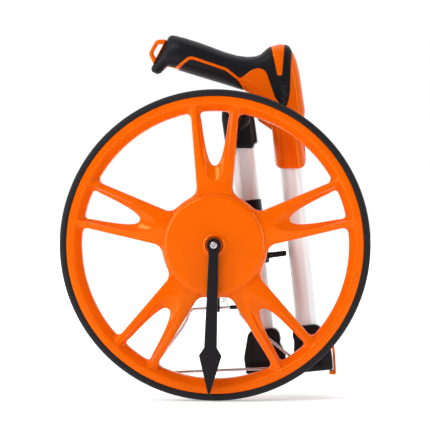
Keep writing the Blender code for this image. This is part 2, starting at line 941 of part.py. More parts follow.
def lock_collar():
    """The clamp at the outer tube's mouth and its cam lever, which stands open."""
    foot, top = 138.2, 205.0
    length = rod_frame(on_tube(foot), on_tube(top))[1] / MM
    mouth = 3.5
    body = along_tube(
        "lock_collar",
        on_tube(foot),
        [(0, 0), (14.6, 0), (15.4, 2.0), (15.4, 22.0), (13.9, 26.0), (13.9, length), (0, length)],
        on_tube(top),
        BLACK,
        (*FOLD_UPPER[:1], TUBE_Y, FOLD_UPPER[1]),
        steps=32,
        closed=False,
    )
    near, far = LEVER_PIVOT[0] - 10.5, LEVER_PIVOT[1]
    plate = arc(LEVER_PIVOT, 3.0, -83, 97, 7) + [(near, far + 1.8), (near, far - 4.2)]
    ear = bmesh.new()
    add_prism(ear, plate, TUBE_Y - 11.3, TUBE_Y - 8.1)
    add_prism(ear, plate, TUBE_Y + 8.1, TUBE_Y + 11.3)
    boolean(body, finish("ear_plates", ear, None, helper=True), "UNION")
    bore = along_tube(
        "collar_bore",
        on_tube(foot - 10),
        [
            (0, 0),
            (INNER_TUBE_R + GAP, 0),
            (INNER_TUBE_R + GAP, 10 + mouth),
            (OUTER_TUBE_R + GAP, 10 + mouth),
            (OUTER_TUBE_R + GAP, 90),
            (0, 90),
        ],
        on_tube(top),
        None,
        None,
        helper=True,
        steps=32,
        closed=False,
    )
    boolean(body, bore, "DIFFERENCE")
    pin_hole = turned(
        "lock_pin_hole",
        disc_profile(1.6, TUBE_Y - 14, TUBE_Y + 14),
        LEVER_PIVOT,
        12,
        None,
        closed=False,
        helper=True,
    )
    boolean(body, pin_hole, "DIFFERENCE")
    turned("lock_pin", disc_profile(1.3, TUBE_Y - 12, TUBE_Y + 12), LEVER_PIVOT, 12, STEEL, closed=False)
    tip = 15.2
    slope = 0.1187
    lever_outline = arc(LEVER_PIVOT, 2.9, 97, 277, 7) + [
        (LEVER_PIVOT[0] + tip - 0.6, LEVER_PIVOT[1] - 2.8 + slope * tip),
        (LEVER_PIVOT[0] + tip, LEVER_PIVOT[1] - 2.2 + slope * tip),
        (LEVER_PIVOT[0] + tip - 0.6, LEVER_PIVOT[1] + 2.2 + slope * tip),
        (LEVER_PIVOT[0] + tip - 1.2, LEVER_PIVOT[1] + 2.8 + slope * tip),
    ]
    bored("lock_lever", lever_outline, TUBE_Y - 7.8, TUBE_Y + 7.8, LEVER_PIVOT, 1.6, BLACK, 12)


# ---------------------------------------------------------------- fold joint between the tubes


def beside_pivot(along, above, slope, sign):
    """A point at a distance along a mating face from the lower fold's pin, and above that face."""
    size = math.hypot(1, slope)
    face = Vector((1, slope)) / size
    up = Vector((-slope, 1)) / size
    spot = Vector(FOLD_LOWER) + face * along * sign + up * above
    return (spot.x, spot.y)


def fold_joint():
    knuckle_r, pin_r = 7.0, 2.6
    front, back = TUBE_Y - JOINT_HALF_DEPTH, TUBE_Y + JOINT_HALF_DEPTH
    inner_front, inner_back = TUBE_Y - 5.7, TUBE_Y + 5.7
    pivot = (FOLD_LOWER[0], 0, FOLD_LOWER[1])
    lower = prism(
        "fold_joint_tube_half",
        [
            beside_pivot(45.2, 2.6, TUBE_SLOPE, -1),
            beside_pivot(4.0, 2.6, TUBE_SLOPE, -1),
            beside_pivot(4.0, 8.0, TUBE_SLOPE, -1),
            (72.3, 40.7),
            (68.3, 50.7),
            (65.5, 55.4),
            (66.6, 59.4),
            (64.6, 67.0),
            (61.6, 70.1),
            (58.0, 71.6),
            (37.0, 69.2),
            (32.2, 64.8),
            (28.1, 39.8),
        ],
        front,
        back,
        BLACK,
        pivot,
    )
    bevel(lower, 1.6, 2, 30)
    upper = prism(
        "fold_joint_handle_half",
        [
            beside_pivot(4.0, -2.3, HANDLE_SLOPE, 1),
            beside_pivot(45.6, -2.3, HANDLE_SLOPE, 1),
            (120.9, 38.0),
            (119.2, 52.0),
            (114.0, 64.0),
            (107.0, 73.4),
            (103.0, 75.6),
            (84.0, 73.8),
            (79.4, 69.6),
            (79.0, 63.0),
            (80.6, 58.0),
            (80.2, 45.0),
            (79.6, 36.0),
        ],
        front,
        back,
        BLACK,
        pivot,
    )
    bevel(upper, 1.6, 2, 30)
    outer_knuckles = bmesh.new()
    for y_front, y_back in ((front + 0.1, inner_front - GAP), (inner_back + GAP, back - 0.1)):
        add_turned(outer_knuckles, disc_profile(knuckle_r, y_front, y_back), FOLD_LOWER, 24, False)
    boolean(lower, finish("outer_knuckles", outer_knuckles, None, helper=True), "UNION")
    centre_knuckle = turned(
        "centre_knuckle", disc_profile(knuckle_r, inner_front, inner_back), FOLD_LOWER, 24, None, False, True
    )
    room_inside = turned(
        "room_inside",
        disc_profile(knuckle_r + 0.5, inner_front - GAP, inner_back + GAP),
        FOLD_LOWER,
        24,
        None,
        False,
        True,
    )
    room_outside = bmesh.new()
    for y_front, y_back in ((front - 3, inner_front), (inner_back, back + 3)):
        add_turned(room_outside, disc_profile(knuckle_r + 0.5, y_front, y_back), FOLD_LOWER, 24, False)
    room_outside = finish("room_outside", room_outside, None, helper=True)
    boolean(upper, room_outside, "DIFFERENCE")
    boolean(upper, centre_knuckle, "UNION")
    boolean(lower, room_inside, "DIFFERENCE")
    pin_hole = turned(
        "joint_pin_hole", disc_profile(pin_r + GAP, front - 4, back + 4), FOLD_LOWER, 16, None, False, True
    )
    boolean(lower, pin_hole, "DIFFERENCE")
    boolean(upper, pin_hole, "DIFFERENCE")
    turned("joint_pin", disc_profile(pin_r, front - 0.6, back + 0.6), FOLD_LOWER, 16, STEEL, closed=False)
    for half, at, name in ((lower, on_tube, "lower_socket"), (upper, on_handle, "upper_socket")):
        hole = along_tube(
            name,
            at(38.0),
            [(0, 0), (INNER_TUBE_R + GAP, 0), (INNER_TUBE_R + GAP, 60), (0, 60)],
            at(90),
            None,
            None,
            helper=True,
            closed=False,
        )
        boolean(half, hole, "DIFFERENCE")
    notch = prism(
        "catch_notch",
        [(20, 10), (35.6, 10), (35.6, 31.5), (20, 31.5)],
        TUBE_Y - 9.0,
        TUBE_Y + 9.0,
        None,
        helper=True,
    )
    boolean(lower, notch, "DIFFERENCE")
    slot = prism(
        "latch_slot",
        [(109.6, 54.0), (116.8, 50.5), (130, 50.5), (130, 80), (109.6, 80)],
        TUBE_Y - 8.4,
        TUBE_Y + 8.4,
        None,
        helper=True,
    )
    boolean(upper, slot, "DIFFERENCE")
    latch_hole = turned(
        "latch_pin_hole", disc_profile(1.8, front - 4, back + 4), LATCH_PIVOT, 12, None, False, True
    )
    boolean(upper, latch_hole, "DIFFERENCE")
    turned("latch_pin", disc_profile(1.5, TUBE_Y - 15, TUBE_Y + 15), LATCH_PIVOT, 12, STEEL, closed=False)
    latch_outline = arc(LATCH_PIVOT, 3.4, 20, 235, 8) + [
        (117.6, 56.0),
        (120.4, 51.0),
        (121.3, 40.0),
        (121.9, 29.6),
        (121.4, 26.9),
        (117.6, 26.6),
        (117.6, 23.0),
        (123.4, 22.4),
        (124.6, 24.0),
        (123.9, 40.0),
        (122.9, 51.5),
        (119.6, 60.0),
    ]
    bored("fold_latch", latch_outline, TUBE_Y - 8.0, TUBE_Y + 8.0, LATCH_PIVOT, 1.8, ORANGE, 12)


# ---------------------------------------------------------------- grip

GRIP_TOP = [
    (-53.4, 372.9),
    (-51.6, 376.6),
    (-47.9, 379.2),
    (-34.8, 375.9),
    (-5.3, 365.8),
    (7.5, 360.9),
    (20.3, 357.2),
    (31.0, 356.0),
    (40.7, 356.4),
    (45.8, 358.5),
    (52.2, 364.3),
    (56.1, 367.0),
]
HEAD_TOP = [(56.1, 367.0), (65.6, 369.3), (74.6, 367.3)]
HEAD_BACK = [
    (74.6, 367.3),
    (78.3, 362.3),
    (82.9, 352.6),
    (86.7, 336.0),
    (89.2, 318.2),
    (91.7, 301.0),
    (91.2, 296.6),
    (88.6, 291.0),
]
BUTT = [(-52.4, 346.0), (-60.6, 339.9), (-63.8, 338.6), (-68.6, 341.0), (-69.8, 344.7)]
GRIP_UNDER = [(39.4, 305.0), (36.4, 311.0), (32.6, 317.7), (26.9, 321.1), (-9.4, 332.7), (-45.9, 344.2)]
STRIPE_TOP = [(-44.5, 344.6), (-29.9, 355.6), (-24.3, 355.6), (10.1, 342.9), (23.5, 332.3)]
GRIP_SCREWS = [(84.4, 305.0), (72.6, 290.0)]
BLOB_TOP = [(23.5, 332.3), (36.6, 340.5), (42.7, 342.4), (48.1, 341.2), (51.4, 338.8), (60.1, 311.9)]


def inset(outline, distance):
    """The outline moved inwards by a distance; its points run counter-clockwise."""
    count = len(outline)
    moved = []
    for i, here in enumerate(outline):
        before, after = Vector(outline[i - 1]), Vector(outline[(i + 1) % count])
        spot = Vector(here)
        first, second = (spot - before).normalized(), (after - spot).normalized()
        normal = Vector((-first.y - second.y, first.x + second.x))
        normal.normalize()
        scale = 1 / max(0.5, normal.dot(Vector((-first.y, first.x))))
        spot += normal * distance * scale
        moved.append((spot.x, spot.y))
    return moved


def grip():
    """The orange body with its socket, the black overmould round it, the lower pad and the hanging loop."""
    pivot = (FOLD_LOWER[0], 0, FOLD_LOWER[1])
    half = 16.5
    body_outline = [
        (57.4, 279.0),
        (42.6, 289.0),
        (41.2, 297.0),
        *GRIP_UNDER[:3],
        (29.6, 319.6),
        (27.3, 323.6),
        (24.0, 331.5),
        *BLOB_TOP[1:],
        (64.2, 306.6),
        (68.6, 301.0),
        (74.4, 302.6),
        (76.4, 313.0),
        (77.0, 330.0),
        (77.6, 347.0),
        (78.0, 360.6),
        *HEAD_BACK[1:],
        (89.8, 285.5),
        (93.2, 246.0),
        (91.2, 240.6),
        (86.0, 238.2),
        (68.0, 238.2),
        (62.6, 240.2),
        (60.6, 245.2),
    ]
    core_outline = [
        (40.0, 320.0),
        (70.0, 308.0),
        (74.0, 340.0),
        (68.0, 358.0),
        (58.0, 358.0),
        (44.0, 350.0),
        (14.0, 354.0),
        (-38.0, 370.0),
        (-46.0, 364.0),
        (-42.0, 359.6),
        (-24.0, 359.0),
        (12.0, 346.4),
        (30.0, 338.0),
    ]
    core_half = 5.0
    body = prism("grip_body", body_outline, TUBE_Y - half, TUBE_Y + half, ORANGE, pivot)
    bevel(body, 3.0, 2, 30)
    core = prism("core_stock", core_outline, TUBE_Y - core_half, TUBE_Y + core_half, None, helper=True)
    boolean(body, core, "UNION")
    socket = along_tube(
        "grip_socket",
        on_handle(230),
        [(0, 0), (INNER_TUBE_R + GAP, 0), (INNER_TUBE_R + GAP, 39), (0, 39)],
        on_handle(290),
        None,
        None,
        helper=True,
        closed=False,
    )
    boolean(body, socket, "DIFFERENCE")

    stripe = 3.2
    over_outline = (
        [(-52.4, 346.6)]
        + [(-48.9, 345.6)]
        + [(x, z + 0.3) for x, z in STRIPE_TOP[:1]]
        + [(-30.1, 356.0), (-24.2, 356.0), (10.3, 343.3), (23.5, 332.9)]
        + [(36.3, 341.1), (42.6, 343.0), (48.5, 341.7), (51.9, 339.2), (60.6, 312.4)]
        + [(64.7, 307.2), (68.7, 301.8), (74.0, 303.2), (75.9, 313.0), (76.5, 330.0), (77.1, 347.0), (77.5, 360.6)]
        + [(74.4, 366.2), (71.0, 368.0)]
        + [(68.6, 334.6), (62.6, 334.6), (55.9, 366.9)]
        + list(reversed(GRIP_TOP[:-1]))
        + [(-69.8, 344.7), (-68.6, 341.0), (-63.8, 338.6), (-60.6, 339.9)]
    )
    over = prism("grip_overmould", over_outline, TUBE_Y - half - 0.4, TUBE_Y + half + 0.4, SOFT, pivot)
    bevel(over, 2.6, 2, 35)
    room = prism(
        "core_room",
        grown(core_outline, 0.4),
        TUBE_Y - core_half - GAP,
        TUBE_Y + core_half + GAP,
        None,
        helper=True,
    )
    boolean(over, room, "DIFFERENCE")
    band_outline = [
        (-44.2, 344.2),
        (-29.7, 355.0),
        (-24.4, 355.0),
        (9.9, 342.3),
        (22.6, 331.9),
        (26.2, 323.6),
        (28.6, 319.4),
        (26.2, 320.4),
        (25.0, 322.4),
        (21.0, 331.0),
        (8.9, 339.4),
        (-24.9, 351.8),
        (-28.7, 351.8),
        (-39.6, 342.6),
    ]
    stripe_body = prism("grip_stripe", band_outline, TUBE_Y - half + 0.2, TUBE_Y + half - 0.2, ORANGE, pivot)
    boolean(stripe_body, room, "DIFFERENCE")
    pad_outline = [
        (-39.0, 342.2),
        (-28.4, 351.3),
        (-25.0, 351.3),
        (8.7, 338.9),
        (20.6, 330.6),
        (24.6, 321.8),
        (-9.4, 332.7),
    ]
    pad = prism("grip_pad", pad_outline, TUBE_Y - half, TUBE_Y + half, SOFT, pivot)
    bevel(pad, 2.0, 2, 35)
    wedge_outline = [(56.6, 367.2), (63.3, 335.6), (68.0, 335.6), (70.5, 368.2), (65.6, 369.3)]
    wedge = prism("grip_wedge", wedge_outline, TUBE_Y - half, TUBE_Y + half, ORANGE, pivot)
    boolean(wedge, room, "DIFFERENCE")
    loop = prism(
        "hanging_loop",
        [
            (-53.9, 374.5),
            (-64.7, 374.6),
            (-72.9, 359.9),
            (-70.0, 349.5),
            (-68.6, 348.0),
        ],
        TUBE_Y - 5.0,
        TUBE_Y + 5.0,
        ORANGE,
        pivot,
    )
    eye = prism(
        "loop_eye",
        [(-57.3, 370.0), (-62.9, 370.0), (-68.3, 360.4), (-65.4, 355.0)],
        TUBE_Y - 8.0,
        TUBE_Y + 8.0,
        None,
        helper=True,
    )
    boolean(loop, eye, "DIFFERENCE")
    for index, spot in enumerate(GRIP_SCREWS):
        turned(
            f"grip_screw_{index + 1}",
            disc_profile(2.6, TUBE_Y + half - 2, TUBE_Y + half - 0.3),
            spot,
            10,
            STEEL,
            closed=False,
        )
    pockets = bmesh.new()
    for spot in GRIP_SCREWS:
        add_turned(pockets, disc_profile(3.0, TUBE_Y + half - 2.4, TUBE_Y + half + 3), spot, 12, False)
    boolean(body, finish("screw_pockets", pockets, None, helper=True), "DIFFERENCE")


def grown(outline, distance):
    """The outline moved outwards by a distance, whichever way it runs."""
    area = sum(a[0] * b[1] - b[0] * a[1] for a, b in zip(outline, outline[1:] + outline[:1]))
    return inset(outline, -distance if area > 0 else distance)


# ---------------------------------------------------------------- bail


def bail():
    (xa, za), (xb, zb) = BAIL_BAR
    pivot = ((xa + xb) / 2, BAIL_Y, (za + zb) / 2)
    left = [(-26.5, 90.2), (-28.4, 86.4), (-29.6, 82.0), (-36.0, 71.0), (-62.0, 36.0), (-65.4, 30.5), (-64.0, 26.6)]
    foot = [(-60.0, 25.7), (-39.4, 27.0), (48.7, 30.9), (80.0, 32.4), (85.6, 33.2), (86.6, 36.2)]
    right = [(83.0, 39.6), (74.6, 45.6), (58.3, 58.7), (34.3, 76.6), (28.7, 82.4), (24.8, 87.6), (23.9, 91.6)]
    route = [(xb, zb), (xa, za), *left, *foot, *right]
    wire("bail", [(x, BAIL_Y, z) for x, z in route], BAIL_R, STEEL, 8, pivot, loop=True)


def bail_spring():
    """The small pull spring between the ear and the bail's bar."""
    coil_r, turns, steps = 2.6, 8, 8
    top, foot = 118.0, 99.5
    x, y = 9.2, BAIL_Y
    points = [(4.6, y, top + 0.8), (x, y - 0.4, top + 1.0)]
    for i in range(turns * steps + 1):
        a = math.tau * i / steps
        points.append((x + coil_r * math.cos(a), y + coil_r * math.sin(a), top + (foot - top) * i / (turns * steps)))
    points += [(x + 2.9, y - 1.0, 97.8), (x + 2.7, y - 2.4, 96.2)]
    wire("bail_spring", points, 0.4, STEEL, 5, (x, y, top))


wheel_moulding()
tyre()
wheel_bearings()
axle_and_pointer()
frame_arm()
counter()
counter_works()
fold_head()
tubes()
lock_collar()
fold_joint()
grip()
bail()
bail_spring()
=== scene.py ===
import json
import math

import bmesh
import bpy
import numpy as np
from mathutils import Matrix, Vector
from mathutils.geometry import delaunay_2d_cdt


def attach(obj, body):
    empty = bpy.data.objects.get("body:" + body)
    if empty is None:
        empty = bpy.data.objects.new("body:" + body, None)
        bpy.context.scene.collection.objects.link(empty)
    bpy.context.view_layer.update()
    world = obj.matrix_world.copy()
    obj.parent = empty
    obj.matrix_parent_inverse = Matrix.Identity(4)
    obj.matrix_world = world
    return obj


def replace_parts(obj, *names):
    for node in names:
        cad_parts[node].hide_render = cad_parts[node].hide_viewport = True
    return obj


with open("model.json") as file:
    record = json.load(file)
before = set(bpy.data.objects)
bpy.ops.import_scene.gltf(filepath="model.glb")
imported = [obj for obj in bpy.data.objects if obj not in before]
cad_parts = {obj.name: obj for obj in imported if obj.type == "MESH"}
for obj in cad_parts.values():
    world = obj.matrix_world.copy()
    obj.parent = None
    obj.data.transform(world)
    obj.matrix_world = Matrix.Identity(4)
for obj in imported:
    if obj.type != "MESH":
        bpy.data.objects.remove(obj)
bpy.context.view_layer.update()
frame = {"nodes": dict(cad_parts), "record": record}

# ------------------------------------------------------------------ measures, in millimetres
# x to the right, z up from the ground, y away from the wheel's mid-plane towards the folded tubes

MM = 0.001
WHEEL_R = 1000.0 / (2 * math.pi)
AXLE = (0.0, WHEEL_R)
SHIFT = -24.5
TUBE_Y = 56.0
FOLD_UPPER = (21.7, 290.0)
FOLD_LOWER = (75.7, 26.0)
TUBE_SLOPE = 0.1187
HANDLE_SLOPE = 0.1027
HANDLE_FOOT_X = 98.8
INNER_R = 11.4
OUTER_R = 12.7
WALL = 0.95
RIM_INNER_R = 137.0
RIM_BAND_R = 144.2
RIM_OUTER_R = 152.1
HUB_R = 54.2
HUB_FACE_R = 51.8
BORE_R = 8.3
GRIP_HALF = 16.3


def place(x, y, z):
    """A design point in the frame's metres."""
    return Vector((x, y + SHIFT, z)) * MM


def tube_axis(z):
    return FOLD_UPPER[0] + TUBE_SLOPE * (FOLD_UPPER[1] - z)


def handle_axis(z):
    return HANDLE_FOOT_X - HANDLE_SLOPE * (z - 26.0)


def on_tube(z):
    return (tube_axis(z), z)


def on_handle(z):
    return (handle_axis(z), z)


# ------------------------------------------------------------------ materials


def node_of(tree, kind, **inputs):
    made = tree.nodes.new(kind)
    for key, value in inputs.items():
        made.inputs[key.replace("_", " ")].default_value = value
    return made


def plain(name, colour, roughness, metallic=0.0, specular=0.5, tint=(1, 1, 1)):
    """A Principled material whose even values sit on the shader's own sockets."""
    made = bpy.data.materials.new(name)
    made.use_nodes = True
    tree = made.node_tree
    shader = tree.nodes["Principled BSDF"]
    shader.inputs["Base Color"].default_value = (*colour, 1.0)
    shader.inputs["Roughness"].default_value = roughness
    shader.inputs["Metallic"].default_value = metallic
    shader.inputs["Specular IOR Level"].default_value = specular
    shader.inputs["Specular Tint"].default_value = (*tint, 1.0)
    made.diffuse_color = (*colour, 1.0)
    return made, tree, shader


def object_coordinates(tree, stretch=(1, 1, 1), turn=(0, 0, 0)):
    coordinates = tree.nodes.new("ShaderNodeTexCoord")
    mapping = tree.nodes.new("ShaderNodeMapping")
    mapping.inputs["Scale"].default_value = stretch
    mapping.inputs["Rotation"].default_value = turn
    tree.links.new(coordinates.outputs["Object"], mapping.inputs["Vector"])
    return mapping.outputs["Vector"]


def noise(tree, vector, scale, detail=3.0, roughness=0.55):
    made = node_of(tree, "ShaderNodeTexNoise", Scale=scale, Detail=detail, Roughness=roughness)
    tree.links.new(vector, made.inputs["Vector"])
    return made.outputs["Fac"]


def ramp(tree, value, stops):
    made = tree.nodes.new("ShaderNodeValToRGB")
    while len(made.color_ramp.elements) < len(stops):
        made.color_ramp.elements.new(0.5)
    for element, (position, colour) in zip(made.color_ramp.elements, stops):
        element.position = position
        element.color = (*colour, 1.0)
    tree.links.new(value, made.inputs["Fac"])
    return made.outputs["Color"]


def grey(level):
    return (level, level, level)


def scaled(colour, factor):
    return tuple(min(1.0, c * factor) for c in colour)


def mixed(tree, factor, first, second):
    made = tree.nodes.new("ShaderNodeMix")
    made.data_type = "RGBA"
    made.inputs[0].default_value = 0.5
    tree.links.new(factor, made.inputs[0])
    for source, socket in ((first, made.inputs[6]), (second, made.inputs[7])):
        if isinstance(source, tuple):
            socket.default_value = (*source, 1.0)
        else:
            tree.links.new(source, socket)
    return made.outputs[2]


def bumped(tree, shader, layers):
    """Bump from several (height, strength, distance) layers, one over the other."""
    below = None
    for height, strength, distance in layers:
        bump = node_of(tree, "ShaderNodeBump", Strength=strength, Distance=distance)
        tree.links.new(height, bump.inputs["Height"])
        if below:
            tree.links.new(below, bump.inputs["Normal"])
        below = bump.outputs["Normal"]
    tree.links.new(below, shader.inputs["Normal"])


def edge_wear(tree):
    """0 on flats and rising on convex edges, from the surface's pointiness."""
    geometry = tree.nodes.new("ShaderNodeNewGeometry")
    return ramp(tree, geometry.outputs["Pointiness"], [(0.52, grey(0.0)), (0.62, grey(1.0))])


def moulded(name, colour, roughness, grain=2600.0, grain_depth=0.12, specular=0.5, worn=1.25, tint=(1, 1, 1)):
    """Injection-moulded plastic: faint flow clouding, a fine spark-eroded grain and lighter edges.

    grain is the grain's noise scale, and worn is how much brighter the edges are than the flats.
    """
    made, tree, shader = plain(name, colour, roughness, specular=specular, tint=tint)
    vector = object_coordinates(tree)
    clouds = noise(tree, vector, 38.0, 4.0)
    body = ramp(tree, clouds, [(0.3, scaled(colour, 0.965)), (0.7, scaled(colour, 1.03))])
    wear = edge_wear(tree)
    tree.links.new(mixed(tree, wear, body, scaled(colour, worn)), shader.inputs["Base Color"])
    smears = noise(tree, vector, 90.0, 5.0, 0.65)
    spread = [(0.3, grey(roughness * 0.86)), (0.72, grey(min(1.0, roughness * 1.22)))]
    tree.links.new(ramp(tree, smears, spread), shader.inputs["Roughness"])
    fine = noise(tree, vector, grain, 2.0)
    waves = noise(tree, vector, 160.0, 2.0)
    bumped(tree, shader, [(waves, 0.05, 0.0004), (fine, grain_depth, 0.00012)])
    return made


ORANGE = moulded(
    "orange_plastic", (0.87, 0.118, 0.0004), 0.2,
    grain=3200.0, grain_depth=0.02, worn=1.05, tint=(1.0, 0.56, 0.13),
)
BLACK = moulded(
    "black_plastic", (0.0075, 0.0064, 0.0085), 0.34,
    grain=2400.0, grain_depth=0.1, specular=0.18, worn=1.8,
)
SOFT = moulded(
    "soft_overmould", (0.007, 0.0064, 0.0092), 0.4,
    grain=1900.0, grain_depth=0.18, specular=0.17, worn=1.6,
)
WHITE = moulded("white_plastic", (0.82, 0.82, 0.79), 0.35)
NYLON = moulded("natural_nylon", (0.7, 0.67, 0.58), 0.45)


def rubber():
    made, tree, shader = plain("tyre_rubber", (0.008, 0.0075, 0.0105), 0.6, specular=0.25)
    vector = object_coordinates(tree)
    dust = noise(tree, vector, 55.0, 6.0, 0.7)
    tree.links.new(
        ramp(tree, dust, [(0.35, (0.007, 0.0065, 0.0095)), (0.75, (0.0125, 0.012, 0.0155))]),
        shader.inputs["Base Color"],
    )
    tree.links.new(ramp(tree, dust, [(0.3, grey(0.55)), (0.7, grey(0.72))]), shader.inputs["Roughness"])
    bumped(tree, shader, [(noise(tree, vector, 1500.0, 3.0), 0.25, 0.0002)])
    return made


def anodised(name, axis_turn):
    """Satin anodised tube: drawing lines along the tube and a soft sheen."""
    made, tree, shader = plain(name, (0.86, 0.96, 0.99), 0.36, metallic=0.2)
    along = object_coordinates(tree, (900.0, 900.0, 9.0), (0, axis_turn, 0))
    lines = noise(tree, along, 1.0, 4.0, 0.6)
    tree.links.new(
        ramp(tree, lines, [(0.3, (0.83, 0.94, 0.985)), (0.7, (0.89, 0.985, 1.0))]),
        shader.inputs["Base Color"],
    )
    tree.links.new(ramp(tree, lines, [(0.3, grey(0.38)), (0.7, grey(0.46))]), shader.inputs["Roughness"])
    bumped(tree, shader, [(lines, 0.06, 0.00003)])
    return made


def plated(name, colour=(0.66, 0.66, 0.69), roughness=0.2):
    made, tree, shader = plain(name, colour, roughness, metallic=1.0)
    vector = object_coordinates(tree)
    haze = noise(tree, vector, 240.0, 5.0, 0.6)
    spread = [(0.3, grey(roughness * 0.8)), (0.7, grey(roughness * 1.5))]
    tree.links.new(ramp(tree, haze, spread), shader.inputs["Roughness"])
    bumped(tree, shader, [(noise(tree, vector, 1800.0, 2.0), 0.06, 0.00006)])
    return made


def lens():
    made, tree, shader = plain("clear_lens", (0.9, 0.93, 0.95), 0.06)
    shader.inputs["Alpha"].default_value = 0.35
    vector = object_coordinates(tree)
    haze = noise(tree, vector, 120.0, 3.0)
    tree.links.new(ramp(tree, haze, [(0.3, grey(0.04)), (0.7, grey(0.12))]), shader.inputs["Roughness"])
    return made


RUBBER = rubber()
TUBE_FINISH = anodised("satin_aluminium", math.atan(TUBE_SLOPE))
STEEL = plated("bright_steel")
DARK_STEEL = plated("blackened_steel", (0.05, 0.05, 0.055), 0.35)
LENS = lens()

SLOT_FINISH = {
    "orange_plastic": ORANGE,
    "black_plastic": BLACK,
    "soft_overmould": SOFT,
    "tyre_rubber": RUBBER,
    "satin_aluminium": TUBE_FINISH,
    "bright_steel": STEEL,
    "white_plastic": WHITE,
    "nylon": NYLON,
    "clear_lens": LENS,
}

NODE_FINISH = {
    "front_bush": ORANGE,
    "fold_bolt": DARK_STEEL,
    "fold_nut": DARK_STEEL,
    "lock_pin": DARK_STEEL,
    "latch_pin": DARK_STEEL,
    "joint_pin": DARK_STEEL,
}

for part in frame["record"]["subparts"]:
    cad = frame["nodes"][part["node"]]
    cad.data.materials.clear()
    cad.data.materials.append(NODE_FINISH.get(part["node"], SLOT_FINISH[part["material_slot"]]))
    cad.data.shade_smooth()
    cad.data.set_sharp_from_angle(angle=math.radians(32))

BODY_OF = {node: body for body, nodes in frame["record"]["behaviour"]["bodies"].items() for node in nodes}
SLOT_OF = {part["node"]: part["material_slot"] for part in frame["record"]["subparts"]}

# ------------------------------------------------------------------ mesh tools


SHARP = 42.0


def closed_mesh(name, vertices, faces):
    """A mesh from design points in millimetres, with its faces turned outwards."""
    mesh = bpy.data.meshes.new(name)
    points = (np.asarray(vertices, dtype=float) + np.array((0.0, SHIFT, 0.0))) * MM
    mesh.from_pydata(points.tolist(), [], faces)
    shape = bmesh.new()
    shape.from_mesh(mesh)
    bmesh.ops.recalc_face_normals(shape, faces=shape.faces)
    if shape.calc_volume(signed=True) < 0:
        bmesh.ops.reverse_faces(shape, faces=shape.faces)
    shape.to_mesh(mesh)
    shape.free()
    return mesh


def add_piece(name, vertices, faces, node, sharp=SHARP, finish=None):
    """A piece with the material and slot of a CAD node, which rides on that node's body."""
    mesh = closed_mesh(name, vertices, faces)
    mesh.shade_smooth()
    mesh.set_sharp_from_angle(angle=math.radians(sharp))
    made = bpy.data.objects.new(name, mesh)
    bpy.context.scene.collection.objects.link(made)
    mesh.materials.append(finish or SLOT_FINISH[SLOT_OF[node]])
    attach(made, BODY_OF[node])
    return made


def resampled(loop, spacing):
    """A closed outline with points at most spacing apart; its corners stay."""
    points = []
    for a, b in zip(loop, loop[1:] + loop[:1]):
        count = max(1, math.ceil(math.dist(a, b) / spacing))
        for k in range(count):
            t = k / count
            points.append((a[0] + (b[0] - a[0]) * t, a[1] + (b[1] - a[1]) * t))
    return points


def rounded(loop, radius, count=5):
    """A closed outline with its corners replaced by smooth curves that start radius from each."""
    points = []
    for i, corner in enumerate(loop):
        before, after = loop[i - 1], loop[(i + 1) % len(loop)]
        to_before, to_after = math.dist(corner, before), math.dist(corner, after)
        reach = min(radius, 0.48 * to_before, 0.48 * to_after)
        start = [corner[k] + (before[k] - corner[k]) * reach / to_before for k in (0, 1)]
        end = [corner[k] + (after[k] - corner[k]) * reach / to_after for k in (0, 1)]
        for j in range(count + 1):
            t = j / count
            points.append(
                tuple((1 - t) ** 2 * start[k] + 2 * t * (1 - t) * corner[k] + t * t * end[k] for k in (0, 1))
            )
    return points


def inside(points, loops):
    """Even-odd test of an array of points against closed outlines."""
    hit = np.zeros(len(points), dtype=bool)
    x, z = points[:, 0], points[:, 1]
    for loop in loops:
        a = np.asarray(loop)
        b = np.roll(a, -1, axis=0)
        for (ax, az), (bx, bz) in zip(a, b):
            if az == bz:
                continue
            crosses = (az > z) != (bz > z)
            hit ^= crosses & (x < (bx - ax) * (z - az) / (bz - az) + ax)
    return hit


def edge_distance(points, loops):
    """The distance of each point from the nearest of the outlines."""
    best = np.full(len(points), 1e9)
    for loop in loops:
        a = np.asarray(loop)
        b = np.roll(a, -1, axis=0)
        for start, end in zip(a, b):
            run = end - start
            length = max(float(run @ run), 1e-12)
            t = np.clip(((points - start) @ run) / length, 0, 1)
            gap = points - (start + t[:, None] * run)
            np.minimum(best, np.hypot(gap[:, 0], gap[:, 1]), out=best)
    return best


def offset_rows(loop, distances, sign):
    """Rows of points beside an outline, at distances inwards."""
    a = np.asarray(loop)
    run = np.roll(a, -1, axis=0) - np.roll(a, 1, axis=0)
    normal = np.stack((-run[:, 1], run[:, 0]), axis=1)
    normal /= np.maximum(np.linalg.norm(normal, axis=1), 1e-9)[:, None]
    return [a + normal * d * sign for d in distances]


def area_of(loop):
    """The area inside an outline, positive when it runs counterclockwise."""
    return sum(a[0] * b[1] - b[0] * a[1] for a, b in zip(loop, loop[1:] + loop[:1])) / 2


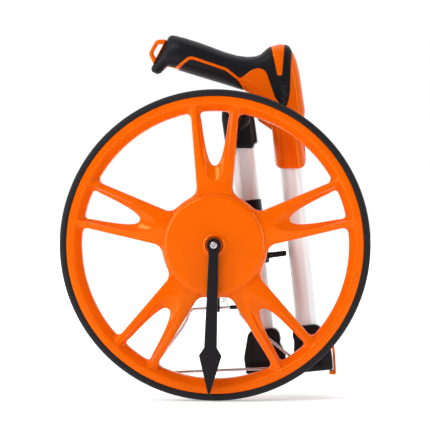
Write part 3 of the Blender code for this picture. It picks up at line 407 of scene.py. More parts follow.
def planform(loops, spacing, rows, extra=(), lattice_mask=None):
    """Triangles over the outlines: (points, triangles, distance from the edge).

    rows are the distances of the point rows beside each outline, extra holds more points to pass
    through, and lattice_mask says where the even lattice of points may stand.
    """
    outlines = [resampled(loop, spacing) for loop in loops]
    fixed = np.concatenate([np.asarray(o) for o in outlines])
    edges = []
    start = 0
    for outline in outlines:
        count = len(outline)
        edges += [(start + k, start + (k + 1) % count) for k in range(count)]
        start += count
    low, high = fixed.min(axis=0), fixed.max(axis=0)
    rise = spacing * math.sqrt(3) / 2
    grid = []
    for j in range(int((high[1] - low[1]) / rise) + 1):
        row_x = np.arange(low[0] + (j % 2) * spacing / 2, high[0], spacing)
        grid.append(np.stack((row_x, np.full(len(row_x), low[1] + j * rise)), axis=1))
    grid = np.concatenate(grid)
    if lattice_mask is not None:
        grid = grid[lattice_mask(grid)]
    keep_out = rows[-1] + spacing * 0.55
    if len(extra):
        grid = np.concatenate((extra, grid))
    grid = grid[inside(grid, outlines)]
    near = edge_distance(grid, outlines)
    grid = grid[near > keep_out]
    banks = [grid]
    for outline in outlines:
        sign = 1.0 if area_of(outline) > 0 else -1.0
        sign = sign if outline is outlines[0] else -sign
        for distance, row in zip(rows, offset_rows(outline, rows, sign)):
            row = row[inside(row, outlines)]
            if len(row):
                banks.append(row[edge_distance(row, outlines) > distance * 0.8])
    free = np.concatenate(banks)
    cell = spacing * 0.22
    seen = set()
    kept = []
    for point in free:
        key = (round(point[0] / cell), round(point[1] / cell))
        if key not in seen:
            seen.add(key)
            kept.append(point)
    everything = np.concatenate((fixed, np.asarray(kept)))
    points, _, triangles, *_ = delaunay_2d_cdt([Vector(p) for p in everything.tolist()], edges, [], 0, 1e-4)
    points = np.asarray([tuple(p) for p in points])
    triangles = np.asarray(triangles)
    centres = points[triangles].mean(axis=1)
    triangles = triangles[inside(centres, outlines)]
    return points, triangles, edge_distance(points, outlines)


def shell(name, plan, front, back, node, sharp=SHARP, walls=1):
    """A closed solid between front and back depths over a planform, its side wall in walls bands."""
    points, triangles, _ = plan
    count = len(points)
    lower = np.stack((points[:, 0], front, points[:, 1]), axis=1)
    upper = np.stack((points[:, 0], back, points[:, 1]), axis=1)
    vertices = [lower, upper]
    faces = [tuple(t) for t in triangles] + [tuple(t[::-1] + count) for t in triangles]
    used = {}
    for a, b, c in triangles:
        for edge in ((a, b), (b, c), (c, a)):
            used[edge] = True
    rim = [(a, b) for a, b in used if (b, a) not in used]
    ids = sorted({a for a, _ in rim} | {b for _, b in rim})
    rank = {v: i for i, v in enumerate(ids)}
    levels = [{v: v for v in ids}]
    for w in range(1, walls):
        t = w / walls
        base = sum(len(v) for v in vertices)
        vertices.append(lower[ids] * (1 - t) + upper[ids] * t)
        levels.append({v: base + rank[v] for v in ids})
    levels.append({v: v + count for v in ids})
    for one, two in zip(levels, levels[1:]):
        faces += [(one[b], one[a], two[a], two[b]) for a, b in rim]
    faces = [tuple(int(v) for v in face) for face in faces]
    return add_piece(name, np.concatenate(vertices), faces, node, sharp)


def soft_edge(distance, radius):
    """How far a rounded edge of that radius falls below the flat at a distance from it."""
    inner = np.clip(radius - distance, 0, radius)
    return radius - np.sqrt(np.maximum(radius**2 - inner**2, 0))


def plate(name, loop, y_front, y_back, radius, node, spacing=1.6, holes=(), shaped=None):
    """A solid with rounded front and back edges over an outline."""
    rows = tuple(radius * f for f in (0.06, 0.22, 0.5, 0.95))
    plan = planform([loop, *holes], spacing, rows)
    fall = soft_edge(plan[2], radius)
    front, back = y_front + fall, y_back - fall
    if shaped:
        front, back = shaped(plan[0], front, back)
    return shell(name, plan, front, back, node, walls=2)


def smooth_low(a, b, k):
    """The lower of two surfaces, blended over k."""
    return 0.5 * (a + b - np.sqrt((a - b) ** 2 + k * k))


def smooth_high(a, b, k):
    """The higher of two surfaces, blended over k."""
    return 0.5 * (a + b + np.sqrt((a - b) ** 2 + k * k))


def turned(name, profile, a, b, node, steps=96, sharp=SHARP, finish=None, closed=True, shaped=None):
    """A profile of (radius, distance from a) turned about the line from a to b."""
    turn = (b - a).to_track_quat("Z", "Y").to_matrix()
    vertices, rings = [], []
    for radius, distance in profile:
        if radius < 1e-6:
            rings.append([len(vertices)])
            vertices.append(a + turn @ Vector((0, 0, distance)))
            continue
        rings.append(list(range(len(vertices), len(vertices) + steps)))
        for k in range(steps):
            angle = math.tau * k / steps
            r = shaped(radius, distance, angle) if shaped else radius
            vertices.append(a + turn @ Vector((r * math.cos(angle), r * math.sin(angle), distance)))
    faces = []
    pairs = list(zip(rings, rings[1:]))
    if closed and len(rings[0]) > 1 and len(rings[-1]) > 1:
        pairs.append((rings[-1], rings[0]))
    for one, two in pairs:
        for k in range(steps):
            n = (k + 1) % steps
            face = [one[k % len(one)], one[n % len(one)], two[n % len(two)], two[k % len(two)]]
            face = list(dict.fromkeys(face))
            if len(face) > 2:
                faces.append(tuple(face))
    return add_piece(name, [tuple(v) for v in vertices], faces, node, sharp, finish)


def at_depth(spot, y=TUBE_Y):
    return Vector((spot[0], y, spot[1]))


def across_y(name, profile, centre, node, steps, sharp=SHARP, closed=True, shaped=None):
    """A profile of (radius, depth) turned about the line along y through centre."""
    a, b = at_depth(centre, 0), at_depth(centre, 1)
    return turned(name, profile, a, b, node, steps, sharp, closed=closed, shaped=shaped)


def swept(name, points, radius, node, sides, loop=False):
    """A round wire through (x, y, z) points."""
    spots = [Vector(p) for p in points]
    count = len(spots)
    vertices, rings = [], []
    normal = None
    for i, spot in enumerate(spots):
        before = spots[(i - 1) % count] if i or loop else spot
        after = spots[(i + 1) % count] if i < count - 1 or loop else spot
        along = (after - before).normalized()
        if normal is None:
            normal = Vector((0, 1, 0)) if abs(along.y) < 0.5 else along.orthogonal().normalized()
        normal = (normal - along * normal.dot(along)).normalized()
        across = along.cross(normal)
        rings.append(list(range(len(vertices), len(vertices) + sides)))
        for k in range(sides):
            a = math.tau * k / sides
            vertices.append(tuple(spot + (normal * math.cos(a) + across * math.sin(a)) * radius))
    pairs = list(zip(rings, rings[1:]))
    if loop:
        pairs.append((rings[-1], rings[0]))
    faces = [
        (one[k], one[(k + 1) % sides], two[(k + 1) % sides], two[k]) for one, two in pairs for k in range(sides)
    ]
    if not loop:
        faces += [tuple(rings[0]), tuple(rings[-1])]
    return add_piece(name, vertices, faces, node, 50)


def circle(centre, radius, count, phase=0.0):
    return [
        (
            centre[0] + radius * math.cos(math.tau * k / count + phase),
            centre[1] + radius * math.sin(math.tau * k / count + phase),
        )
        for k in range(count)
    ]


def rod_stock(start, end, radius, steps=64):
    """The vertices and faces of a plain round rod along the tubes' plane, for carving."""
    a, b = at_depth(start), at_depth(end)
    turn = (b - a).to_track_quat("Z", "Y").to_matrix()
    ring = [turn @ Vector((x, y, 0)) for x, y in circle((0, 0), radius, steps)]
    vertices = [tuple(a + v) for v in ring] + [tuple(b + v) for v in ring]
    faces = [(k, (k + 1) % steps, steps + (k + 1) % steps, steps + k) for k in range(steps)]
    return vertices, [*faces, tuple(reversed(range(steps))), tuple(range(steps, 2 * steps))]


def block_stock(x0, x1, y0, y1, z0, z1):
    """The vertices and faces of a block, for carving."""
    vertices = [(x, y, z) for x in (x0, x1) for y in (y0, y1) for z in (z0, z1)]
    return vertices, [(0, 1, 3, 2), (4, 6, 7, 5), (0, 4, 5, 1), (2, 3, 7, 6), (0, 2, 6, 4), (1, 5, 7, 3)]


def carve(piece, *stocks):
    """Cuts rods and blocks out of a piece."""
    for vertices, faces in stocks:
        stock = bpy.data.objects.new("stock", closed_mesh("stock", vertices, faces))
        bpy.context.scene.collection.objects.link(stock)
        cut = piece.modifiers.new("cut", "BOOLEAN")
        cut.operation = "DIFFERENCE"
        cut.solver = "EXACT"
        cut.object = stock
        bpy.context.view_layer.update()
        depsgraph = bpy.context.evaluated_depsgraph_get()
        carved = bpy.data.meshes.new_from_object(piece.evaluated_get(depsgraph))
        piece.modifiers.clear()
        piece.data = carved
        bpy.data.objects.remove(stock)
    piece.data.set_sharp_from_angle(angle=math.radians(SHARP))


def arc(centre, radius, first, last, count):
    """Points on a circle from one direction to another, in degrees, both ends included."""
    step = (last - first) / (count - 1)
    return [
        (
            centre[0] + radius * math.cos(math.radians(first + step * i)),
            centre[1] + radius * math.sin(math.radians(first + step * i)),
        )
        for i in range(count)
    ]


# ------------------------------------------------------------------ wheel

SPOKE_STEP = 72
SPOKE_ANGLES = [90 - SPOKE_STEP * k for k in range(5)]
HUB_FILLET = (30.3, 59.1)
HUB_FILLET_R = 12.0
RIM_FILLET_R = 5.5
WINDOW_START = 81.0
WINDOW_HALF = 14.9
CREST_START = 64.3
CREST = (
    (CREST_START, 66, 68, 71, 75, 80, 86.6, 98, 110, 125, 140),
    (0, 3.2, 5, 7.3, 9.4, 11.2, 12.9, 14.9, 16.3, 17.9, 18.7),
)
HUB_BEVEL_R = 48.3
RIM_FRONT_Y = -11.0
HUB_FRONT_Y = -15.1
HIDDEN_Y = 20.0


# Each side is a distance across the spoke's middle line, at a distance d from the axle along it.


def spoke_side(d):
    return 17.7 + 0.083 * (d - 52.3)


def window_side(d):
    t = np.clip((np.asarray(d, dtype=float) - WINDOW_START) / 55.0, 0, 1)
    return WINDOW_HALF * t**0.42


def crest_side(d):
    return np.interp(d, *CREST)


def spoke_edge():
    """One side of a spoke from the hub to the rim as (across, distance from the axle)."""
    edge = arc(HUB_FILLET, HUB_FILLET_R, 242.8, 180, 9)
    centre_r = RIM_INNER_R - RIM_FILLET_R
    across = spoke_side(128) + RIM_FILLET_R
    middle = (across, math.sqrt(centre_r**2 - across**2))
    last = math.degrees(math.atan2(middle[1], middle[0]))
    edge += [(spoke_side(d), d) for d in (72, 86, 100, 114)]
    return edge + arc(middle, RIM_FILLET_R, 180, last, 9)


def turned_about_axle(points, degrees):
    """Spoke points (across, along) in the design's (x, z), for a spoke at that direction."""
    a = math.radians(degrees)
    return [
        (AXLE[0] + d * math.cos(a) + u * math.sin(a), AXLE[1] + d * math.sin(a) - u * math.cos(a))
        for u, d in points
    ]


def polar_arc(radius, start, end, count):
    """Points on a circle about the axle strictly between the directions of two points, clockwise."""
    a = math.atan2(start[1] - AXLE[1], start[0] - AXLE[0])
    b = math.atan2(end[1] - AXLE[1], end[0] - AXLE[0])
    while b > a:
        b -= math.tau
    return [
        (
            AXLE[0] + radius * math.cos(a + (b - a) * k / count),
            AXLE[1] + radius * math.sin(a + (b - a) * k / count),
        )
        for k in range(1, count)
    ]


def wheel_outlines():
    """The moulding's outer circle, the gaps between and in the spokes, and the bore."""
    loops = [circle(AXLE, RIM_OUTER_R, 360)]
    side = spoke_edge()
    for degrees in SPOKE_ANGLES:
        up = turned_about_axle(side, degrees)
        down = turned_about_axle([(-u, d) for u, d in reversed(side)], degrees - SPOKE_STEP)
        rim = polar_arc(RIM_INNER_R, up[-1], down[0], 22)
        hub = list(reversed(polar_arc(HUB_R, up[0], down[-1], 6)))
        loops.append(up + rim + down + hub)
        right = [(float(window_side(d)), d) for d in (81.3, 82.2, 83.6, 86, 89, 93, 98, 104, 111, 119, 127)]
        right += [(WINDOW_HALF, 132.6), (14.4, 135.0), (12.6, 136.2)]
        left = [(-u, d) for u, d in reversed(right)]
        top = turned_about_axle([right[-1], left[0]], degrees)
        roof = list(reversed(polar_arc(RIM_INNER_R, top[1], top[0], 8)))
        loops.append(turned_about_axle(right, degrees) + roof + turned_about_axle(left, degrees))
    loops.append(circle(AXLE, BORE_R, 48))
    return loops


def spoke_coordinates(points):
    """(distance from the axle, across the nearest spoke, along it) of each point."""
    x, z = points[:, 0] - AXLE[0], points[:, 1] - AXLE[1]
    r = np.hypot(x, z)
    angle = np.degrees(np.arctan2(z, x))
    nearest = (angle - 90 + SPOKE_STEP / 2) % SPOKE_STEP - SPOKE_STEP / 2
    return r, np.abs(r * np.sin(np.radians(nearest))), r * np.cos(np.radians(nearest))


def wheel_surfaces(points, distance):
    """The front and back depths of the wheel moulding, at a distance from its edges."""
    r, u, d = spoke_coordinates(points)
    crest, window = crest_side(d), window_side(d)
    crest_y = -12.3 + (np.clip(d, 54, 145) - 54) * 2.6 / 86
    q = np.clip((crest - u) / np.maximum(crest - np.minimum(window, crest - 0.5), 0.5), 0, 1)
    fade = np.clip((d - CREST_START) / 17.0, 0, 1)
    trough = 5.4 * (q**0.75 * (1 - 0.25 * q)) / 0.75 * fade
    gap = 1.6 * np.clip(window - 0.6 - u, 0, 9) * (d > 100)
    outside = np.clip((u - crest) / np.maximum(spoke_side(d) - crest, 1.0), 0, 1)
    beyond = 1.6 * np.clip(u - spoke_side(d) - 0.4, 0, 9)
    spoke = crest_y + np.where(u < crest, trough + gap, 1.9 * outside**1.6 + beyond)
    rim = smooth_high(np.full(len(r), RIM_FRONT_Y), RIM_FRONT_Y + (RIM_BAND_R - r) * 1.35, 0.7)
    lip = 3.2
    rim = rim + np.where(r > RIM_OUTER_R - lip, 0.35 * (1 - np.cos((r - RIM_OUTER_R + lip) / lip * math.pi)) / 2, 0)
    face = HUB_FRONT_Y - 0.35 * np.clip(1 - (r / 48.0) ** 2, 0, 1)
    bevel = np.clip((r - HUB_BEVEL_R) / (HUB_FACE_R - HUB_BEVEL_R), 0, 1)
    past = r - HUB_FACE_R
    hub = face + 2.3 * (0.75 * bevel + 0.25 * bevel**2) + 60.0 * np.clip(past, 0, 0.035) + 0.55 * np.clip(past, 0, 8)
    hub = hub - 1.3 * np.clip((11.2 - r) / 0.9, 0, 1)
    hub = np.where(r > 60, HIDDEN_Y, hub)
    front = smooth_low(spoke, rim, 1.4)
    front = np.where(r < 60, smooth_low(front, hub, 0.25), front)
    front = np.where(r < 47, hub, front)
    in_hub = (r < 64) & (r > 20)
    radius = np.where(in_hub, 2.4, np.where(r > 140, 0.6, 1.5))
    front = front + soft_edge(np.minimum(distance, radius), radius)
    back_spoke = 7.2 - np.where(u < crest, 0.55 * trough, 1.2 * outside**1.6)
    back_rim = 11.0 - np.clip(RIM_INNER_R + 2.0 - r, 0, 12) * 1.6
    back_hub = np.where(r < 60, 10.4 + 2.6 * np.clip((HUB_R - r) / 38.0, 0, 1), -HIDDEN_Y)
    back = smooth_high(smooth_high(back_spoke, back_rim, 1.2), back_hub, 0.6)
    back = back - soft_edge(np.minimum(distance, 1.2), 1.2)
    return front, np.maximum(back, front + 1.2)


def build_wheel():
    loops = wheel_outlines()
    rings = []
    hub_rings = (10.2, 11.0, 11.6, 47.6, 48.15, 48.45, 49.2, 50.2, 51.1, 51.75, 51.85, 52.4, 53.2)
    rim_rings = (138.3, 139.6, 140.9, 142.1, 143.1, 143.8, 144.3, 144.9, 145.8, 147.2, 148.6, 149.4, 150.2)
    for radius in hub_rings + rim_rings:
        count = int(math.tau * radius / 1.5 / 5) * 5
        rings.append(np.asarray(circle(AXLE, radius, count, 0.1)))
    crests = []
    for degrees in SPOKE_ANGLES:
        for sign in (-1, 1):
            for shift in (-0.7, 0.0, 0.7):
                row = [(sign * (float(crest_side(d)) + shift), d) for d in np.arange(64.5, 143, 1.1)]
                crests.append(np.asarray(turned_about_axle(row, degrees)))

    def mask(grid):
        r, u, d = spoke_coordinates(grid)
        near_crest = (np.abs(u - crest_side(d)) < 1.3) & (d > 64)
        return ~(((r > 136.8) & (r < 151.2)) | ((r > 46.8) & (r < 53.9)) | ((r > 9.4) & (r < 12.2)) | near_crest)

    plan = planform(loops, 1.6, (0.35, 0.8, 1.4), np.concatenate(rings + crests), mask)
    front, back = wheel_surfaces(plan[0], plan[2])
    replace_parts(shell("wheel_moulding", plan, front, back, "wheel", 38.0, 3), "wheel")


def build_tyre():
    tread_r, groove_r = 159.15, 158.55
    half = 6.9
    count = 5
    grooves = []
    for k in range(count):
        middle = -half + 2 * half * (k + 0.5) / count
        grooves += [(tread_r, middle - 0.9), (groove_r, middle - 0.55)]
        grooves += [(groove_r, middle + 0.55), (tread_r, middle + 0.9)]
    front = [(152.45, -10.4), (153.4, -10.9), (155.4, -11.0), (157.1, -10.4), (158.3, -9.3), (158.95, -8.1)]
    front.append((tread_r, -7.3))
    back = [(r, -y) for r, y in reversed(front)]
    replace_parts(across_y("tyre_band", front + grooves + back, AXLE, "tyre", 360, 30.0), "tyre")


# ------------------------------------------------------------------ grip

GRIP_OUTLINE = [
    (-52.6, 346.2), (-48.9, 345.2), (-45.9, 344.2), (-28, 338.4), (-9.4, 332.7), (9, 327.0), (26.9, 321.1),
    (32.6, 317.7), (36.4, 311.5), (39.4, 305.0), (41.2, 297.0), (42.6, 289.0), (57.4, 279.0), (60.6, 245.2),
    (62.2, 240.8), (67.0, 238.4), (86.6, 238.4), (90.9, 240.8), (92.9, 245.6), (90.6, 280.0), (90.3, 285.5),
    (91.4, 293.0), (91.9, 300.0), (89.2, 318.2), (86.7, 336.0), (82.9, 352.6), (78.3, 362.3), (74.6, 367.1),
    (70.4, 368.9), (65.6, 369.2), (60.4, 368.4), (56.1, 366.8), (52.2, 364.3), (45.8, 358.6), (40.7, 356.5),
    (34.6, 355.9), (29.2, 356.0), (20.3, 357.2), (7.5, 360.9), (-5.3, 365.8), (-20.0, 371.2), (-34.8, 375.9),
    (-44.0, 378.3), (-48.4, 379.0), (-51.6, 377.2), (-53.6, 373.4), (-69.8, 344.7), (-68.9, 341.1),
    (-63.8, 338.9), (-60.2, 340.1),
]
MEMBRANE_ROUNDS = 1500


class Inflated:
    """A smooth half thickness over an outline: the square root of a membrane's rise, levelled off."""

    def __init__(self, loop, cell, level, soften, gain):
        points = np.asarray(loop)
        self.low = points.min(axis=0) - 3 * cell
        size = points.max(axis=0) + 3 * cell - self.low
        nx, nz = int(size[0] / cell) + 1, int(size[1] / cell) + 1
        self.cell = cell
        xs, zs = np.meshgrid(np.arange(nx), np.arange(nz), indexing="ij")
        where = np.stack((xs.ravel(), zs.ravel()), axis=1) * cell + self.low
        mask = inside(where, [loop]).reshape(nx, nz)
        rise = np.zeros((nx, nz))
        source = 0.5 * cell * cell * gain
        for _ in range(MEMBRANE_ROUNDS):
            around = (np.roll(rise, 1, 0) + np.roll(rise, -1, 0) + np.roll(rise, 1, 1) + np.roll(rise, -1, 1)) / 4
            rise = np.where(mask, around + source, 0.0)
        half = np.sqrt(rise)
        self.half = smooth_low(half, np.full_like(half, level), soften)
        self.half = np.where(mask, np.maximum(self.half, 0.0), 0.0)

    def at(self, points):
        """The half thickness at each point, between the four nearest cells."""
        where = (points - self.low) / self.cell
        i = np.clip(np.floor(where).astype(int), 0, np.array(self.half.shape) - 2)
        t = np.clip(where - i, 0, 1)
        h = self.half
        a = h[i[:, 0], i[:, 1]] * (1 - t[:, 0]) + h[i[:, 0] + 1, i[:, 1]] * t[:, 0]
        b = h[i[:, 0], i[:, 1] + 1] * (1 - t[:, 0]) + h[i[:, 0] + 1, i[:, 1] + 1] * t[:, 0]
        return a * (1 - t[:, 1]) + b * t[:, 1]


def skin(name, loop, half, rise, node, spacing, detail=None):
    """A moulding over the grip: the grip's own half thickness plus rise, with edges that dip into it."""
    plan = planform([loop], spacing, (0.2, 0.55, 1.1))
    thickness = half.at(plan[0]) + rise - soft_edge(plan[2], 0.7) * 1.1
    if detail:
        thickness = thickness + detail(plan[0], plan[2])
    thickness = np.maximum(thickness, 0.12)
    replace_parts(shell(name, plan, TUBE_Y - thickness, TUBE_Y + thickness, node, 48.0), node)


OVERMOULD = [
    (-52.9, 346.5), (-49.2, 345.6), (-45.4, 344.6), (-44.2, 344.9), (-38.0, 349.6), (-31.4, 354.8),
    (-29.4, 355.7), (-26.6, 355.9), (-23.8, 355.2), (-8, 349.8), (9.2, 343.9), (12.0, 342.2), (22.6, 333.6),
    (24.0, 333.1), (25.4, 333.6), (36.3, 341.2), (39.2, 342.6), (43.4, 343.2), (47.0, 342.5), (50.2, 340.6),
    (52.2, 337.4), (60.9, 312.2), (64.9, 307.0), (67.0, 303.4), (68.4, 302.0), (71.4, 302.4), (72.8, 303.4),
    (75.3, 311.6), (76.4, 320.0), (77.1, 344.0), (78.3, 361.6), (77.0, 364.8), (74.9, 367.5), (71.2, 369.2),
    (70.6, 368.0), (68.2, 337.0), (67.4, 335.4), (64.0, 335.4), (63.0, 336.6), (56.7, 366.0), (55.9, 367.2),
    (52.0, 364.9), (45.6, 359.1), (40.6, 357.0), (34.6, 356.4), (29.3, 356.5), (20.4, 357.7), (7.6, 361.4),
    (-5.2, 366.3), (-19.9, 371.7), (-34.7, 376.4), (-44.0, 378.8), (-48.5, 379.5), (-52.0, 377.6),
    (-54.0, 373.6), (-70.4, 344.7), (-69.3, 340.8), (-63.8, 338.4), (-60.0, 339.6),
]
PAD = [
    (-41.3, 342.9), (-35.9, 347.2), (-30.2, 351.6), (-28.6, 352.6), (-26.4, 352.8), (-24.2, 352.3),
    (7.8, 341.3), (10.3, 339.9), (20.3, 331.8), (22.6, 329.9), (27.6, 321.4), (26.0, 321.2), (9.0, 326.8),
    (-9.5, 332.5), (-28.1, 338.2), (-41.0, 342.2),
]
SOCKET_R = 15.9
COVER_RECESS = 1.7
CHEVRON_PITCH = 4.4


def build_grip():
    outline = rounded(GRIP_OUTLINE, 1.8, 3)
    half = Inflated(outline, 0.8, GRIP_HALF, 4.0, 1.15)
    plan = planform([outline], 1.5, (0.15, 0.45, 1.0, 1.8))
    x, z = plan[0][:, 0], plan[0][:, 1]
    socket = np.clip((294.0 - z) / 14.0, 0, 1)
    across = np.clip(np.abs(x - (handle_axis(z) + 0.6 - (z - 240) * 0.02)) / SOCKET_R, 0, 1)
    sleeve = SOCKET_R * np.sqrt(1 - across**2) * 0.98
    thickness = np.maximum(half.at(plan[0]) * (1 - socket) + sleeve * socket, 0.15)
    thickness = thickness - 1.2 * np.clip(1 - (z - 238.4) / 1.6, 0, 1) ** 2
    for cover in (OVERMOULD, PAD):
        under = inside(plan[0], [cover]) * np.clip((edge_distance(plan[0], [cover]) - 0.4) / 1.0, 0, 1)
        thickness = thickness - COVER_RECESS * under
    thickness = np.maximum(thickness, 0.15)
    body = shell("grip_shell", plan, TUBE_Y - thickness, TUBE_Y + thickness, "grip_body", 60.0)
    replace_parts(body, "grip_body", "grip_stripe", "grip_wedge")

    def chevrons(points, distance):
        """The ribs of the overmould's lower tongue."""
        x, z = points[:, 0], points[:, 1]
        zone = np.clip((327.0 - z) / 2.0, 0, 1) * np.clip((z - 304.0) / 3.0, 0, 1)
        lean = np.abs(x - (67.2 + (318 - z) * 0.12)) * 1.1
        wave = np.maximum(0, np.sin((z - lean) * math.tau / CHEVRON_PITCH))
        reach = np.clip((6.6 - np.abs(x - 67.6)) / 1.0, 0, 1)
        return (wave - 0.3) * zone * reach * np.clip(distance / 1.4, 0, 1)

    skin("grip_soft_skin", rounded(OVERMOULD, 1.0, 3), half, 0.45, "grip_overmould", 1.15, chevrons)
    skin("grip_lower_pad", rounded(PAD, 0.8, 3), half, 0.5, "grip_pad", 1.3)
    loop_outer = rounded([(-53.0, 375.0), (-64.9, 374.7), (-73.0, 359.9), (-67.6, 348.8), (-66.0, 351.0)], 3.4, 6)
    loop_inner = rounded([(-57.3, 370.0), (-62.7, 370.0), (-68.1, 360.4), (-65.3, 355.2)], 1.8, 5)
    eye = plate("hanging_eye", loop_outer, TUBE_Y - 5, TUBE_Y + 5, 2.2, "hanging_loop", 1.0, [loop_inner])
    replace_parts(eye, "hanging_loop")


# ------------------------------------------------------------------ tubes, fold head, collar, lower fold


def tube(name, at, z_foot, z_top, radius, node):
    """A tube with chamfered ends along one of the two tube lines."""
    foot, top = at_depth(at(z_foot)), at_depth(at(z_top))
    length = math.dist(at(z_foot), at(z_top))
    inner = radius - WALL
    chamfer = 0.3
    profile = [(inner + 0.2, 0), (inner, chamfer), (inner, length - chamfer), (inner + 0.2, length)]
    steps = 40
    outer = [(radius, length - chamfer - (length - 2 * chamfer) * k / steps) for k in range(steps + 1)]
    profile += [(radius - chamfer, length), *outer, (radius - chamfer, 0)]
    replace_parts(turned(name, profile, foot, top, node), node)


def build_tubes():
    tube("outer_tube_skin", on_tube, 142.0, 283.0, OUTER_R, "outer_tube")
    tube("inner_tube_skin", on_tube, 40.0, 218.0, INNER_R, "inner_tube")
    tube("handle_tube_skin", on_handle, 40.0, 268.0, INNER_R, "handle_tube")


def sheared(x_off, z):
    """A point beside the tube's leaning axis."""
    return (tube_axis(z) + x_off, z)


def build_head():
    half = 17.1
    depth = 17
    outline = [
        sheared(-half + 3, 259.6), sheared(half - 4.6, 259.6), sheared(half - 3.4, 264.2), sheared(half + 0.4, 266.0),
        sheared(half + 0.4, 269.0), sheared(half, 290), sheared(half - 1.2, 299), sheared(half - 5.4, 304.4),
        sheared(half - 11, 306.0), sheared(-half + 11, 306.0), sheared(-half + 5.4, 304.4), sheared(-half + 1.2, 299),
        sheared(-half, 290), sheared(-half + 0.8, 264),
    ]

    def barrel(points, front, back):
        across = (points[:, 0] - tube_axis(points[:, 1])) / half
        crown = 5.0 * np.clip(np.abs(across), 0, 1) ** 2.6
        ridge = 0.9 * np.exp(-(((across - 0.62) / 0.05) ** 2)) * np.clip((299 - points[:, 1]) / 4, 0, 1)
        return front + crown - ridge * 0.6, back - crown + ridge * 0.6

    piece = plate(
        "fold_head_shell", rounded(outline, 3.0, 5), TUBE_Y - depth, TUBE_Y + depth, 3.0, "fold_head", 1.4, (), barrel
    )
    carve(piece, rod_stock(on_tube(250.0), on_tube(284.0), OUTER_R + 0.15))
    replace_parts(piece, "fold_head")


def build_collar():
    foot, top = 138.2, 205.0
    length = math.dist(on_tube(foot), on_tube(top))
    bore, mouth = OUTER_R + 0.3, INNER_R + 0.3
    profile = [(mouth, 0.4), (mouth + 0.4, 0), (14.2, 0), (14.9, 0.5), (15.4, 2.0), (15.4, 20.5), (15.1, 22.0)]
    profile += [(14.1, 24.6), (13.9, 26.0), (13.9, 30.0), (14.2, 30.6), (14.2, 33.0), (13.9, 33.6)]
    profile += [(13.9, length - 0.8), (13.5, length), (bore, length), (bore, 3.5), (mouth, 3.5)]
    collar = turned("clamp_collar", profile, at_depth(on_tube(foot)), at_depth(on_tube(top)), "lock_collar")
    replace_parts(collar, "lock_collar")
    pivot = (57.2, 147.8)
    ear_outline = arc(pivot, 3.0, -83, 97, 9) + [(pivot[0] - 6.5, pivot[1] + 2.2), (pivot[0] - 6.5, pivot[1] - 3.6)]
    for index, (y0, y1) in enumerate(((TUBE_Y - 11.3, TUBE_Y - 8.1), (TUBE_Y + 8.1, TUBE_Y + 11.3))):
        plate(f"clamp_ear_{index + 1}", ear_outline, y0, y1, 0.5, "lock_collar", 1.2)
    tip, rise = 15.2, TUBE_SLOPE
    lever = arc(pivot, 2.9, 97, 277, 9) + [
        (pivot[0] + tip - 1.0, pivot[1] - 2.8 + rise * tip),
        (pivot[0] + tip, pivot[1] - 1.8 + rise * tip),
        (pivot[0] + tip, pivot[1] + 1.8 + rise * tip),
        (pivot[0] + tip - 1.0, pivot[1] + 2.8 + rise * tip),
    ]
    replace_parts(plate("clamp_lever_blade", lever, TUBE_Y - 7.8, TUBE_Y + 7.8, 0.9, "lock_lever", 1.1), "lock_lever")


def beside_pivot(along, above, slope, sign):
    """A point on a line that leaves the lower fold's pin square to a tube, and above that line."""
    size = math.hypot(1, slope)
    return (
        FOLD_LOWER[0] + along * sign / size - above * slope / size,
        FOLD_LOWER[1] + along * sign * slope / size + above / size,
    )


def recessed(centre, reach_x, reach_z):
    """A shallow rectangular recess in both faces of a plate."""

    def shape(points, front, back):
        dx = np.abs(points[:, 0] - centre[0]) / reach_x
        dz = np.abs(points[:, 1] - centre[1]) / reach_z
        inner = np.clip((1.0 - np.maximum(dx, dz)) / 0.12, 0, 1)
        return front + 0.7 * inner, back - 0.7 * inner

    return shape


def joint_half(name, outline, recess, node, *stocks):
    y0, y1 = TUBE_Y - 16, TUBE_Y + 16
    piece = plate(name, rounded(outline, 2.4, 4), y0, y1, 2.4, node, 1.5, (), recess)
    carve(piece, *stocks)
    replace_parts(piece, node)


